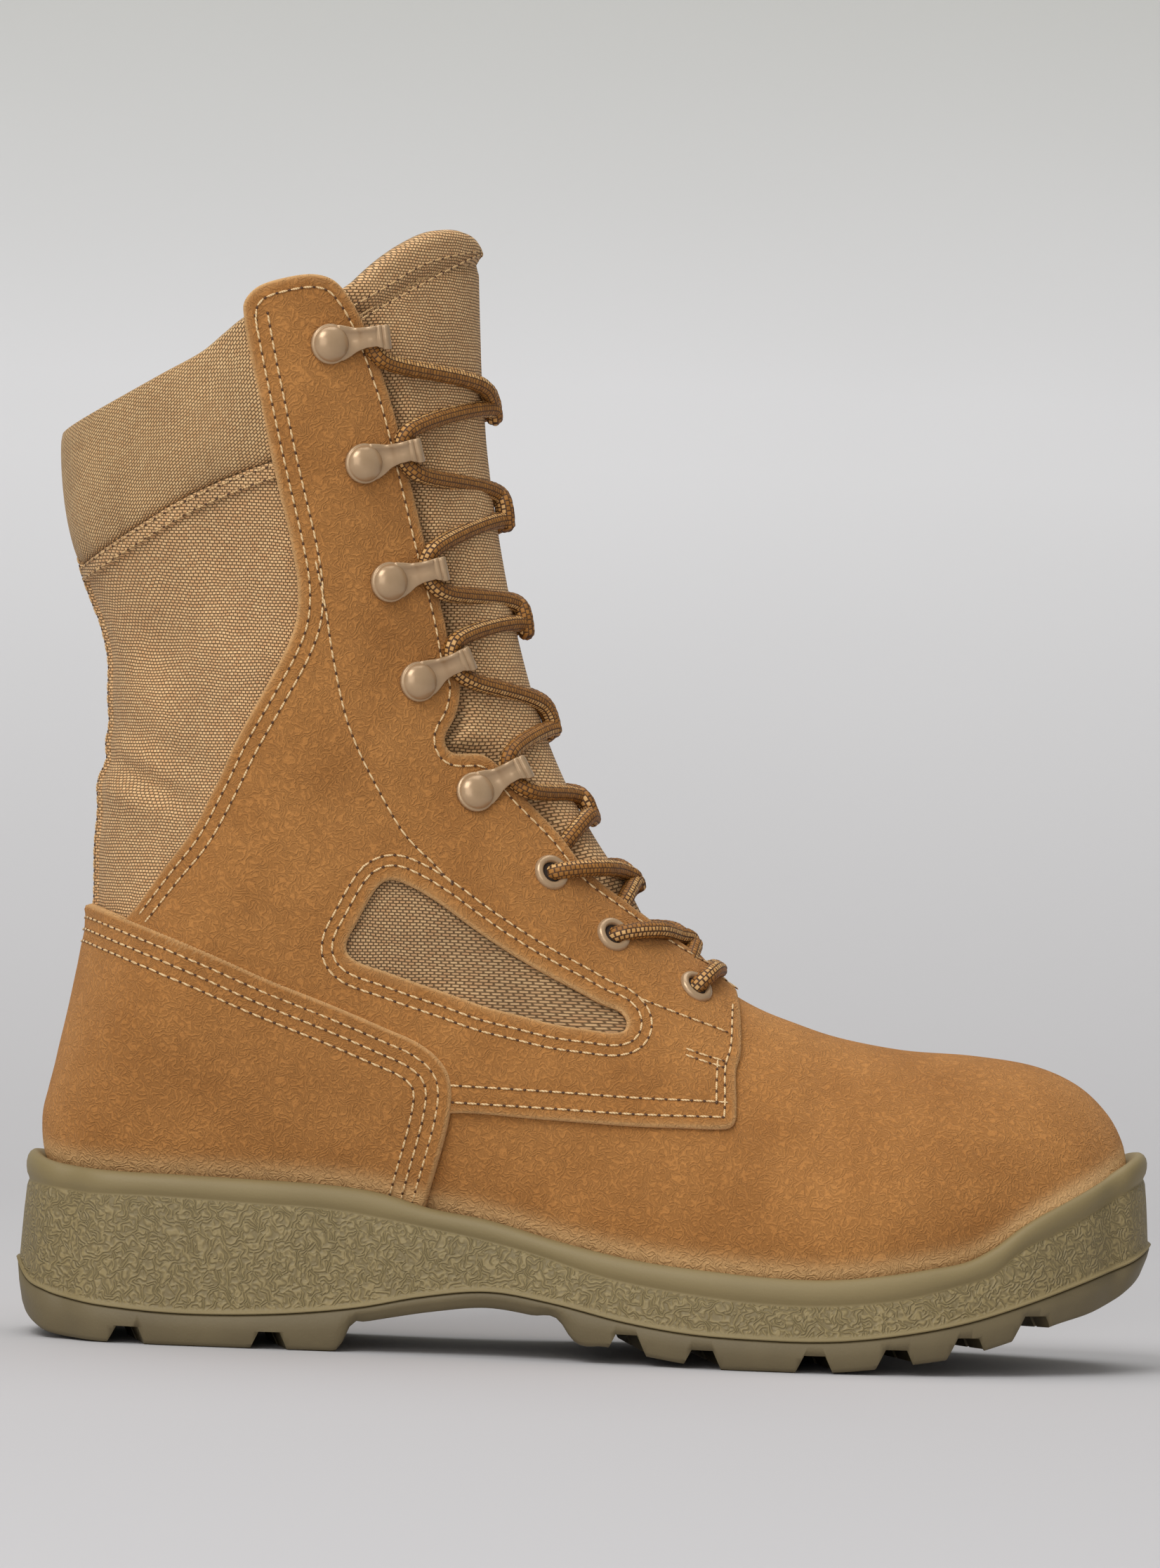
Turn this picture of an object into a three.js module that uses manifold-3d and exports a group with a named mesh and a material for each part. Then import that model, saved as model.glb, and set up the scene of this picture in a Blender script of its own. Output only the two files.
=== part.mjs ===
// A lace-up combat boot for the right foot, in millimetres.
// +X points to the toe, +Y to the wearer's left (the inner side), +Z up. The origin is on the floor,
// under the middle of the heel. The boot is an assembly: a lugged outsole, a moulded midsole cup, an
// insole, a hollow upper on a last-shaped form, leather overlays, a padded tongue, speed hooks,
// eyelets and a lace.
import * as THREE from 'three';
import { mergeVertices } from 'three/addons/utils/BufferGeometryUtils.js';
import Module from 'manifold-3d';

const wasm = await Module();
wasm.setup();

// ---------- driving dimensions ----------
const GAP = 0.3; // clearance between pieces that lie on each other
const WALL = 3.0; // shell of the upper: face, foam and lining
const QUARTER_LEATHER = 1.9;
const COUNTER_LEATHER = 2.5;
const INSOLE_THICK = 4.5;
const LASTING_MARGIN = 11; // width of the upper that turns in under the foot
const FORM_SIDES = 22; // points round each section
const DEEP = 90; // half depth of a cutter that passes through the whole boot

const LACE = { diameter: 4.4, sides: 6, steps: 6 };
const TONGUE = { thick: 5, bulge: 0.2, under: 4.2, rows: 12 };
const TONGUE_COLUMNS = [-17, -7, 0.8, 7]; // how far inside the throat, from each side's edge
const TONGUE_MIDDLE = [0.66, 0.33]; // columns from there to the ridge, as shares of the way left
const HOOK = { button: 4.8, dome: 2.0, plate: 1.3, arm: 12.5, width: 5.6, rise: 5.4, sides: 10 };
const EYELET = { outer: 4.4, inner: 2.5, thick: 1.3, sides: 12 };

// ---------- the last-shaped form ----------
// One row for each section, from the toe tip over the instep and round the heel to the collar. The
// section's plane holds the line from its low point to its top point and the Y direction. Half widths
// are from midY at 15, 50 and 85 % of the way up, on the outer (-Y) and the inner (+Y) side. square
// is the power of the low end: 0.5 is round, as behind the leg, and 0.12 is flat, as under the foot.
const SECTIONS = table(
  [
    'topX', 'topZ', 'lowX', 'lowZ', 'midY', 'outLow', 'outMid', 'outHigh', 'inLow', 'inMid', 'inHigh',
    'square',
  ],
  [
    [249.0, 55.0, 249.0, 45.5, 8.0, 7.0, 8.5, 6.0, 6.0, 7.0, 5.0, 0.45],
    [247.6, 61.5, 246.8, 40.0, 8.0, 16.0, 19.0, 12.5, 12.5, 15.0, 10.0, 0.4],
    [243.2, 69.0, 242.0, 34.5, 7.7, 25.0, 28.0, 18.0, 19.0, 21.5, 14.5, 0.3],
    [235.0, 76.2, 233.5, 29.5, 7.0, 34.0, 36.5, 23.0, 26.0, 28.5, 19.0, 0.22],
    [223.0, 81.0, 221.5, 24.7, 6.0, 41.5, 42.5, 26.5, 32.5, 33.5, 22.5, 0.18],
    [206.0, 83.2, 205.0, 20.5, 4.5, 48.0, 47.5, 28.5, 38.5, 38.5, 25.0, 0.15],
    [186.0, 84.2, 185.0, 17.3, 3.0, 52.0, 49.5, 29.0, 43.5, 42.0, 26.0, 0.13],
    [165.0, 88.2, 163.0, 15.8, 2.0, 53.0, 49.0, 28.0, 46.0, 43.0, 26.0, 0.12],
    [142.5, 96.8, 139.0, 16.3, 1.0, 50.5, 46.0, 26.5, 43.5, 41.0, 25.0, 0.12],
    [128.5, 108.5, 117.0, 18.5, 0.0, 46.0, 43.0, 25.0, 39.0, 38.5, 24.0, 0.12],
    [116.0, 120.5, 94.0, 23.0, 0.0, 41.5, 41.0, 24.5, 34.0, 36.5, 23.5, 0.12],
    [105.0, 134.0, 70.0, 29.5, 0.0, 37.5, 39.5, 24.5, 31.0, 36.5, 24.0, 0.12],
    [96.5, 147.5, 44.0, 35.5, 0.0, 35.0, 39.0, 25.0, 31.0, 37.5, 24.5, 0.12],
    [89.5, 161.5, 14.0, 38.0, 0.0, 33.5, 38.5, 25.5, 32.5, 38.0, 25.5, 0.13],
    [84.0, 176.0, -16.0, 38.5, 0.0, 32.5, 38.5, 26.0, 32.0, 38.5, 26.0, 0.2],
    [80.0, 189.0, -34.5, 43.5, 0.0, 31.5, 39.0, 26.5, 31.5, 39.0, 26.5, 0.35],
    [77.0, 201.0, -40.6, 57.5, 0.0, 30.5, 39.5, 27.0, 30.5, 39.5, 27.0, 0.48],
    [74.5, 212.0, -38.2, 73.5, 0.0, 29.0, 40.0, 27.0, 29.0, 40.0, 27.0, 0.5],
    [72.3, 223.0, -34.2, 93.0, 0.0, 27.5, 40.0, 27.0, 27.5, 40.0, 27.0, 0.5],
    [70.5, 233.0, -31.6, 114.0, 0.0, 26.5, 40.0, 27.0, 26.5, 40.0, 27.0, 0.5],
    [69.0, 243.0, -31.8, 133.0, 0.0, 26.5, 40.5, 27.0, 26.5, 40.5, 27.0, 0.5],
    [68.0, 252.5, -30.8, 153.0, 0.0, 27.0, 41.0, 27.0, 27.0, 41.0, 27.0, 0.5],
    [67.0, 262.0, -29.2, 175.0, 0.0, 28.5, 41.5, 27.0, 28.5, 41.5, 27.0, 0.5],
    [66.3, 272.0, -33.0, 191.0, 0.0, 31.0, 43.0, 27.0, 31.0, 43.0, 27.0, 0.5],
    [65.6, 283.0, -37.8, 204.0, 0.0, 32.5, 44.0, 27.5, 32.5, 44.0, 27.5, 0.5],
    [65.0, 294.0, -42.0, 221.0, 0.0, 33.5, 45.0, 27.5, 33.5, 45.0, 27.5, 0.5],
    [64.4, 306.0, -45.6, 241.5, 0.0, 34.0, 45.5, 27.5, 34.0, 45.5, 27.5, 0.5],
    [63.8, 319.0, -48.0, 260.0, 0.0, 34.0, 45.5, 27.5, 34.0, 45.5, 27.5, 0.5],
  ],
);
// Every solid laid on the form has its rings at these stations, so that the faces run parallel.
const STATIONS = [
  0, 0.5, 1, 1.6, 2.3, 3, 4, 5, 6, 7, 8, 9, 10, 11, 12, 13, 14, 14.6, 15.2, 16, 17, 18, 19, 20, 21.2, 22.4,
  23.6, 24.8, 26, 27,
];
const WIDTH_AT = [0.15, 0.5, 0.85];
const RIDGE_POWER = 0.5;

// ---------- the sole ----------
// Half widths of the sole at the parting line, and the heights of its lines, along the boot.
const SOLE_OUTLINE = table(
  ['x', 'outer', 'inner'],
  [
    [-49, 0, 0], [-35, 29, 29], [-15, 38.5, 38], [10, 40.5, 39], [45, 41, 36.5], [75, 44, 35],
    [105, 50.5, 40], [135, 56.5, 49], [160, 58, 54], [185, 55.5, 54.5], [210, 48.5, 49.5],
    [230, 37.5, 42], [245, 22, 31.5], [256, -7, 7],
  ],
);
const LIP_TOP = [
  [-49, 50], [-41, 48.5], [-34, 47], [-25, 46], [-5, 45.4], [34, 44.2], [44, 43.2], [60, 39.6],
  [78, 36.6], [97, 32], [117, 28.2], [136, 26.2], [160, 24.8], [180, 26], [194, 28.4], [206, 31.4],
  [212, 34.4], [218, 38.8], [230, 46], [240, 51.6], [248, 56.5], [256, 59],
];
const PARTING = [
  [-49, 20], [-46, 16], [-40, 13], [-30, 10.8], [-20, 9.7], [-4, 8.9], [16, 9.3], [32, 10.6],
  [45, 12.4], [60, 15.6], [79, 17.8], [96, 15.5], [114, 11.7], [131, 9.4], [148, 8.6], [171, 8.9],
  [188, 11], [206, 14.8], [223, 20.3], [240, 26.6], [251, 31], [256, 34],
];
const TREAD = [
  [-49, 9], [-46, 5.5], [-42, 2.6], [-36, 1], [-30, 0.4], [-22, 0], [28, 0], [38.5, 1.2],
  [42, 7.5], [52, 9.6], [64, 11.6], [79, 13], [90, 11.8], [97.5, 10.6], [100.5, 6.4], [110, 4.4],
  [121, 2.4], [130, 1.1], [139, 0], [162, 0], [170, 0.3], [182, 1.6], [192, 3.1], [201, 4.6],
  [210, 7], [219, 10], [228, 13.3], [244, 19.2], [251, 23.5], [256, 29],
];
// Places along the sole where its rings have a point on each side; the tread bends only here.
const SOLE_STATIONS = [
  -49, -47.6, -44, -38.5, -31, -22, -8, 8, 28, 38.5, 42, 60, 79, 97.5, 100.5, 120, 139, 162, 180, 197,
  212, 225, 236, 244.5, 250.5, 254.6, 256,
];
// How far each ring of the midsole's wall stands in from the parting outline.
const RIM = [
  { name: 'floor edge', inset: 0, drop: null },
  { name: 'under the lip', inset: 1.9, drop: 7.4 },
  { name: 'lip', inset: 1.5, drop: 4.2 },
  { name: 'lip shoulder', inset: 2.6, drop: 1.2 },
  { name: 'lip top', inset: 4.6, drop: 0 },
];
const LUGS = { depth: 4.6, mouth: 9.6, root: 4.8, sweep: 7, rib: 3.2, ribAt: 19 };
const GROOVES_AT = [-17, 20.7, 115.2, 135.2, 164.8, 186.3, 205.4, 223.3];

// ---------- outlines seen from the side, [x, z] ----------
const COLLAR_LINE = [
  [-62, 233], [-45.7, 241.6], [-29.4, 250.4], [-17.3, 257], [-6.5, 263], [2, 269.2], [4.4, 273.5],
];
const FACING_TOP = [
  [4.8, 277.6], [8, 281], [15.5, 283.8], [22.6, 284.8], [27.6, 283.2], [31.9, 278.6],
  [34.8, 273.7],
];
const FACING_FRONT = [
  [39.2, 263.5], [43.8, 250.6], [48.6, 233], [53.4, 215.4], [59.5, 194.3], [61.9, 184.9], [64.4, 177.2],
  [63.2, 169.4], [60.6, 163.2], [61.8, 159.8], [72.4, 159], [79.6, 150.9], [92.2, 137.4],
  [99.4, 129.2], [109.2, 121.5], [118.6, 114.6], [125.4, 110.4], [131, 107.5],
];
const QUARTER_FOOT = [
  [140.2, 100.5], [142.4, 92.9], [143, 82], [141.9, 77.9], [142.2, 68.8], [141, 63.4], [129, 62.5],
  [90, 63.6], [67.2, 64.4],
];
const QUARTER_BACK = [
  [-30, 104], [-17.7, 116.2], [-10.9, 126.5], [-4.2, 136.3], [1.3, 148.3], [6.8, 161.5], [13.4, 174.8],
  [19, 185.7], [21.1, 194], [21.3, 201.2], [19.1, 212.9], [15, 228.2], [10.8, 244.7], [6.6, 262.3],
];
const COUNTER_LINE = [
  [-62, 128], [-34, 116.8], [-18.6, 111.4], [-2.4, 105.4], [15.6, 98.2], [34.6, 91.6], [48.2, 86.3],
  [56.8, 83], [62.6, 79.2], [65.8, 74.8], [66.8, 69.6], [66.2, 62.5], [64.4, 53.6], [62.2, 45],
  [60, 36], [57, 20],
];
const WINDOW = [
  [45.7, 124.1], [48.4, 125.4], [53.7, 123.8], [62, 119.2], [70.1, 113.6], [80.2, 107.2], [89.6, 102],
  [99, 97.4], [105.3, 94.2], [110.3, 92.3], [112.2, 89.9], [111.7, 87.4], [108.7, 86.7], [102.5, 87.4],
  [93.2, 88.6], [83.9, 90.7], [74.6, 92.8], [65.2, 95.8], [55.9, 98.6], [48.4, 101], [40.3, 103.6],
  [37.9, 105.4], [37.4, 108.1], [39.9, 113.7], [43.3, 120.6],
];
const TONGUE_TOP = [
  [12, 250], [22, 272], [31.4, 282], [39, 289.6], [47.2, 295.4], [54.3, 298.8], [60.5, 299.8],
  [64, 297.4], [80, 292],
];

// Lace holders up the facing, from the toe: where each sits and how its arm is turned from +X.
const EYELETS_AT = [[130.4, 98.4], [107.6, 112], [90.2, 128.2]];
const HOOKS_AT = [
  { x: 70.6, z: 149, turn: 26 },
  { x: 54.2, z: 178.2, turn: 17 },
  { x: 45.6, z: 204.4, turn: 12 },
  { x: 37.9, z: 235.4, turn: 12 },
  { x: 28, z: 266.8, turn: 11 },
];
// Where the lace crosses itself in front of the tongue, from the toe up.
const CROSSINGS = [
  [128.6, 112.8], [113.6, 130], [101.4, 147.9], [90.8, 170.8], [83, 198.2], [76.9, 226.6],
  [73.1, 254.3],
];
const LACE_BAR = [138.2, 106.8];

// ---------- materials ----------
const finish = (color, roughness, metalness = 0) => new THREE.MeshStandardMaterial({
  color, roughness, metalness,
});
const NYLON = finish('#a5835a', 0.85);
const SUEDE = finish('#a9713a', 0.95);
const RUBBER = finish('#6f6440', 0.7);
const FOAM_RUBBER = finish('#77704a', 0.75);
const LINING = finish('#8d7350', 0.9);
const METAL = finish('#9c7f66', 0.45, 0.5);
const CORD = finish('#7d4f22', 0.8);

// ---------- small tools ----------
function table(columns, values) {
  return values.map((row) => Object.fromEntries(columns.map((name, i) => [name, row[i]])));
}

function smoothMix(p0, p1, p2, p3, t) {
  return 0.5 * (2 * p1 + (p2 - p0) * t + (2 * p0 - 5 * p1 + 4 * p2 - p3) * t * t
    + (3 * p1 - p0 - 3 * p2 + p3) * t * t * t);
}

// A row of SECTIONS at a fractional place u, by Catmull-Rom.
function sectionAt(u) {
  const last = SECTIONS.length - 1;
  const i = Math.min(last - 1, Math.max(0, Math.floor(u)));
  const pick = (k) => SECTIONS[Math.min(last, Math.max(0, k))];
  const names = Object.keys(SECTIONS[0]);
  return Object.fromEntries(names.map((n) => [
    n, smoothMix(pick(i - 1)[n], pick(i)[n], pick(i + 1)[n], pick(i + 2)[n], u - i),
  ]));
}

// The height of a line such as LIP_TOP at x, straight between its points.
function heightAt(line, x) {
  const i = line.findIndex((p) => p[0] >= x);
  if (i < 0) return line[line.length - 1][1];
  if (i === 0) return line[0][1];
  const [x0, z0] = line[i - 1];
  const [x1, z1] = line[i];
  return z0 + (z1 - z0) * (x - x0) / (x1 - x0);
}

// Half width of a section at the share t of its height: a class function that closes both ends,
// times a parabola through the three stated widths.
function halfWidth(widths, square, t) {
  const close = (s) => s ** square * (1 - s) ** RIDGE_POWER;
  let full = 0;
  WIDTH_AT.forEach((a, i) => {
    let part = widths[i] / close(a);
    WIDTH_AT.forEach((b, j) => {
      if (j !== i) part *= (t - b) / (a - b);
    });
    full += part;
  });
  return Math.max(0, full * close(t));
}

// A point of the form: u along the sections, v once round from the low point up the outer side.
function formPoint(u, v) {
  const s = sectionAt(u);
  const outer = v <= 0.5;
  const t = (1 - Math.cos(Math.PI * (outer ? 2 * v : 2 * (1 - v)))) / 2;
  const widths = outer ? [s.outLow, s.outMid, s.outHigh] : [s.inLow, s.inMid, s.inHigh];
  const w = halfWidth(widths, Math.max(0.1, s.square), t);
  return new THREE.Vector3(
    s.lowX + (s.topX - s.lowX) * t,
    s.midY + (outer ? -w : w),
    s.lowZ + (s.topZ - s.lowZ) * t,
  );
}

// The same point moved out of the surface by an offset, and the outward normal there.
function formNormal(u, v) {
  const du = 0.02;
  const dv = 0.004;
  const last = SECTIONS.length - 1;
  const along = formPoint(Math.min(last, u + du), v).sub(formPoint(Math.max(0, u - du), v));
  const round = formPoint(u, (v + dv) % 1).sub(formPoint(u, (v - dv + 1) % 1));
  return along.cross(round).normalize().negate();
}
const formOffset = (u, v, offset) => formPoint(u, v).addScaledVector(formNormal(u, v), offset);

// A closed solid from plain arrays, turned to face out.
function solid(points, triangles) {
  const vertProperties = new Float32Array(points.flatMap((p) => [p.x, p.y, p.z]));
  const build = (tris) => new wasm.Manifold(new wasm.Mesh({
    numProp: 3, vertProperties, triVerts: new Uint32Array(tris.flat()),
  }));
  const made = build(triangles);
  return made.volume() > 0 ? made : build(triangles.map(([a, b, c]) => [a, c, b]));
}

function fromGeometry(geometry) {
  const bare = geometry.clone();
  bare.deleteAttribute('normal');
  bare.deleteAttribute('uv');
  const merged = mergeVertices(bare, 1e-4);
  return new wasm.Manifold(new wasm.Mesh({
    numProp: 3,
    vertProperties: merged.attributes.position.array,
    triVerts: new Uint32Array(merged.index.array),
  }));
}

// Rings of points joined one to the next, with a fan over each end.
function loft(rings) {
  const n = rings[0].length;
  const points = rings.flat();
  const triangles = [];
  for (let i = 0; i + 1 < rings.length; i += 1) {
    for (let j = 0; j < n; j += 1) {
      const a = i * n + j;
      const b = i * n + (j + 1) % n;
      triangles.push([a, b, b + n], [a, b + n, a + n]);
    }
  }
  [[0, 1], [rings.length - 1, -1]].forEach(([k, way]) => {
    const hub = rings[k].reduce((sum, p) => sum.add(p), new THREE.Vector3()).divideScalar(n);
    points.push(hub);
    for (let j = 0; j < n; j += 1) {
      const edge = [k * n + (j + 1) % n, k * n + j];
      triangles.push(way > 0 ? [points.length - 1, ...edge] : [points.length - 1, edge[1], edge[0]]);
    }
  });
  return solid(points, triangles);
}

// A sheet with thickness: outside and inside grids of the same size, closed round the edge.
function thickSheet(outside, inside) {
  const rows = outside.length;
  const columns = outside[0].length;
  const half = rows * columns;
  const at = (i, j, layer) => layer * half + i * columns + j;
  const triangles = [];
  for (let i = 0; i + 1 < rows; i += 1) {
    for (let j = 0; j + 1 < columns; j += 1) {
      const [a, b, c, d] = [[i, j], [i, j + 1], [i + 1, j + 1], [i + 1, j]];
      triangles.push([at(...a, 0), at(...b, 0), at(...c, 0)], [at(...a, 0), at(...c, 0), at(...d, 0)]);
      triangles.push([at(...a, 1), at(...c, 1), at(...b, 1)], [at(...a, 1), at(...d, 1), at(...c, 1)]);
    }
  }
  const wall = (p, q) => triangles.push(
    [at(...p, 0), at(...p, 1), at(...q, 1)], [at(...p, 0), at(...q, 1), at(...q, 0)],
  );
  for (let j = 0; j + 1 < columns; j += 1) {
    wall([0, j], [0, j + 1]);
    wall([rows - 1, j + 1], [rows - 1, j]);
  }
  for (let i = 0; i + 1 < rows; i += 1) {
    wall([i + 1, 0], [i, 0]);
    wall([i, columns - 1], [i + 1, columns - 1]);
  }
  return solid([...outside.flat(), ...inside.flat()], triangles);
}

// A prism across the boot from an outline seen from the side, between y = from and y = to.
function sidePrism(outline, from = -DEEP, to = DEEP) {
  const shape = new THREE.Shape(outline.map(([x, z]) => new THREE.Vector2(x, z)));
  const geometry = new THREE.ExtrudeGeometry(shape, { depth: to - from, bevelEnabled: false });
  geometry.rotateX(Math.PI / 2);
  geometry.translate(0, to, 0);
  return fromGeometry(geometry);
}

function meshOf(name, manifold, material) {
  const made = manifold.simplify(0.08).getMesh();
  const geometry = new THREE.BufferGeometry();
  geometry.setAttribute('position', new THREE.BufferAttribute(new Float32Array(made.vertProperties), 3));
  geometry.setIndex(new THREE.BufferAttribute(new Uint32Array(made.triVerts), 1));
  geometry.computeVertexNormals();
  const mesh = new THREE.Mesh(geometry, material);
  mesh.name = name;
  return mesh;
}

// ---------- the upper and its overlays ----------
const formEnd = SECTIONS.length - 1;
const formRings = (offset, from = 0, to = formEnd) => STATIONS
  .filter((u) => u >= from && u <= to)
  .map((u) => Array.from({ length: FORM_SIDES }, (_, j) => formOffset(u, j / FORM_SIDES, offset)));

// The plan outline of the form's foot, drawn in by an inset.
function footOutline(inset) {
  const rows = SECTIONS.slice(2, 15).map((s) => [
    s.lowX, s.midY - s.outLow + inset, s.midY + s.inLow - inset,
  ]);
  return [...rows.map(([x, outer]) => [x, outer]), ...rows.reverse().map(([x, , inner]) => [x, inner])];
}

const UPPER_OUTLINE = [
  ...COLLAR_LINE, ...FACING_TOP, ...FACING_FRONT, [142, 106], [262, 106], [262, -5], [-62, -5],
];

function makeUpper() {
  const outside = loft(formRings(0));
  const hollow = loft(formRings(-WALL));
  const shape = new THREE.Shape(footOutline(LASTING_MARGIN).map(([x, y]) => new THREE.Vector2(x, y)));
  const hole = fromGeometry(new THREE.ExtrudeGeometry(shape, { depth: 60, bevelEnabled: false }));
  return outside.subtract(hollow).subtract(hole).intersect(sidePrism(UPPER_OUTLINE));
}

// An overlay is the skin between two forms a leather's thickness apart, cut to its outline.
function skin(thick, from, to) {
  const inner = loft(formRings(GAP, from - 1, to + 1));
  return loft(formRings(GAP + thick, from, to)).subtract(inner);
}

// All that the heel counter covers, with a clearance round its edge.
const counterCover = () => sidePrism([...COUNTER_LINE.map(([x, z]) => [x + GAP, z + GAP]), [-62, 20]]);
const COUNTER_SPAN = [8, 21.2];

function makeCounter() {
  return skin(COUNTER_LEATHER, ...COUNTER_SPAN).intersect(sidePrism([...COUNTER_LINE, [-62, 20]]));
}

function makeQuarter(side) {
  const outline = [
    ...QUARTER_BACK, ...FACING_TOP, ...FACING_FRONT, ...QUARTER_FOOT, [50, 60], [20, 70],
  ];
  const [from, to] = side === 'outer' ? [-DEEP, MIDLINE - 2.2] : [MIDLINE + 2.2, DEEP];
  return skin(QUARTER_LEATHER, 7, formEnd)
    .intersect(sidePrism(outline, from, to))
    .subtract(counterCover())
    .subtract(sidePrism(WINDOW, from, to));
}
const MIDLINE = 0.8; // of the form, where the facings meet over the instep

// ---------- the sole ----------
// Half width of the sole at x: smooth between the rows, and round at the heel and the toe.
function soleHalf(side, x) {
  const rows = SOLE_OUTLINE;
  const last = rows.length - 1;
  const i = Math.min(last - 1, Math.max(0, rows.filter((r) => r.x < x).length - 1));
  const t = Math.min(1, Math.max(0, (x - rows[i].x) / (rows[i + 1].x - rows[i].x)));
  const [a, b] = [rows[i][side], rows[i + 1][side]];
  if (i === 0) return a + (b - a) * Math.sqrt(t * (2 - t));
  if (i === last - 1) return b + (a - b) * Math.sqrt(1 - t * t);
  const before = i > 1 ? rows[i - 1][side] : a - (b - a) * 1.6;
  const after = i < last - 2 ? rows[i + 2][side] : b + (b - a) * 1.5;
  return smoothMix(before, a, b, after, t);
}

// One ring of the sole: its outline drawn in by an inset, each point at the height of a line.
function soleRing(inset, height) {
  const outer = SOLE_STATIONS.map((x) => new THREE.Vector2(x, -soleHalf('outer', x)));
  const inner = SOLE_STATIONS.slice(1, -1).map((x) => new THREE.Vector2(x, soleHalf('inner', x)));
  const ring = [...outer, ...inner.reverse()];
  return ring.map((p, i) => {
    const along = ring[(i + 1) % ring.length].clone().sub(ring.at(i - 1)).normalize();
    const q = p.clone().add(new THREE.Vector2(-along.y, along.x).multiplyScalar(inset));
    return new THREE.Vector3(q.x, q.y, height(q.x));
  });
}

// Stacked rings closed by strips across the boot, so that both faces follow their lines in x.
function soleSolid(rings) {
  const n = rings[0].length;
  const points = rings.flat();
  const triangles = [];
  for (let i = 0; i + 1 < rings.length; i += 1) {
    for (let j = 0; j < n; j += 1) {
      const a = i * n + j;
      const b = i * n + (j + 1) % n;
      triangles.push([a, b, b + n], [a, b + n, a + n]);
    }
  }
  [0, (rings.length - 1) * n].forEach((base, top) => {
    for (let i = 0; i + 1 < SOLE_STATIONS.length; i += 1) {
      const right = [base + i, base + i + 1];
      const left = [base + (n - i) % n, base + (n - i - 1) % n];
      const quads = [[right[0], left[0], right[1]], [right[1], left[0], left[1]]];
      quads.filter((q) => new Set(q).size === 3)
        .forEach(([a, b, c]) => triangles.push(top ? [a, c, b] : [a, b, c]));
    }
  });
  return solid(points, triangles);
}

function makeMidsole() {
  const rings = RIM.map(({ inset, drop }) => soleRing(
    inset, (x) => (drop === null ? heightAt(PARTING, x) : heightAt(LIP_TOP, x) - drop),
  ));
  const cup = loft(formRings(GAP));
  const counter = loft(formRings(2 * GAP + COUNTER_LEATHER, ...COUNTER_SPAN)).intersect(counterCover());
  return soleSolid(rings).subtract(cup).subtract(counter);
}

// A tread groove: a trapezoid that narrows upwards, run across one half of the sole and swept back.
function groove(x, side) {
  const floor = heightAt(TREAD, x);
  const { mouth, root, depth, sweep } = LUGS;
  const profile = [
    [-mouth / 2 - 2, floor - 4], [-mouth / 2, floor], [-root / 2, floor + depth],
    [root / 2, floor + depth], [mouth / 2, floor], [mouth / 2 + 2, floor - 4],
  ].map(([dx, z]) => new THREE.Vector3(dx, 0, z));
  const reach = side * 75;
  const rings = [-side * 0.5, reach].map((y) => profile.map(
    (p) => new THREE.Vector3(p.x + x - sweep * (1 - Math.min(1, Math.abs(y) / 38)), y, p.z),
  ));
  return loft(rings);
}

// A shallow channel along the tread, from one x to another.
function channel(from, to, y) {
  const steps = 5;
  const rings = Array.from({ length: steps + 1 }, (_, i) => {
    const x = from + (to - from) * i / steps;
    const roof = Math.max(heightAt(TREAD, x), 0) + LUGS.depth * 0.8;
    const half = LUGS.rib / 2;
    return [[-half - 0.6, -6], [-half, roof], [half, roof], [half + 0.6, -6]].map(
      ([dy, z]) => new THREE.Vector3(x, y + dy, z),
    );
  });
  return loft(rings);
}

function makeOutsole() {
  const block = soleSolid([
    soleRing(2.2, (x) => heightAt(TREAD, x)),
    soleRing(0.4, (x) => Math.min(heightAt(TREAD, x) + 3.4, heightAt(PARTING, x) - GAP - 0.8)),
    soleRing(0, (x) => heightAt(PARTING, x) - GAP),
  ]);
  const cuts = GROOVES_AT.flatMap((x) => [groove(x, 1), groove(x, -1)]);
  [[-34, 33], [106, 232]].forEach(([from, to]) => {
    [-LUGS.ribAt, LUGS.ribAt].forEach((y) => cuts.push(channel(from, to, y)));
  });
  return cuts.reduce((body, cut) => body.subtract(cut), block);
}

function makeInsole() {
  const inside = loft(formRings(-WALL - 2 * GAP, 1, 17));
  const rise = WALL + 2 * GAP + INSOLE_THICK;
  const topLine = SECTIONS.slice(1, 16).map((s) => [s.lowX, s.lowZ + rise]);
  const outline = [[262, 60], ...topLine, [-62, 50], [-62, -5], [262, -5]];
  return inside.intersect(sidePrism(outline));
}

// ---------- the tongue ----------
// The facing's edge as a line x(z), used to tell how far a point lies inside the throat.
const THROAT = [...FACING_TOP.slice(3), ...FACING_FRONT.filter(([x, z]) => z > 178 || z < 159.5), [142, 99]];
function throatDepth(p) {
  let best = Infinity;
  let sign = -1;
  for (let i = 0; i + 1 < THROAT.length; i += 1) {
    const [x0, z0] = THROAT[i];
    const [x1, z1] = THROAT[i + 1];
    const [ex, ez] = [x1 - x0, z1 - z0];
    const t = Math.min(1, Math.max(0, ((p.x - x0) * ex + (p.z - z0) * ez) / (ex * ex + ez * ez)));
    const [dx, dz] = [p.x - x0 - ex * t, p.z - z0 - ez * t];
    const d = Math.hypot(dx, dz);
    if (d < best) {
      best = d;
      sign = dx * -ez + dz * ex > 0 ? 1 : -1;
    }
  }
  return sign * best;
}

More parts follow.
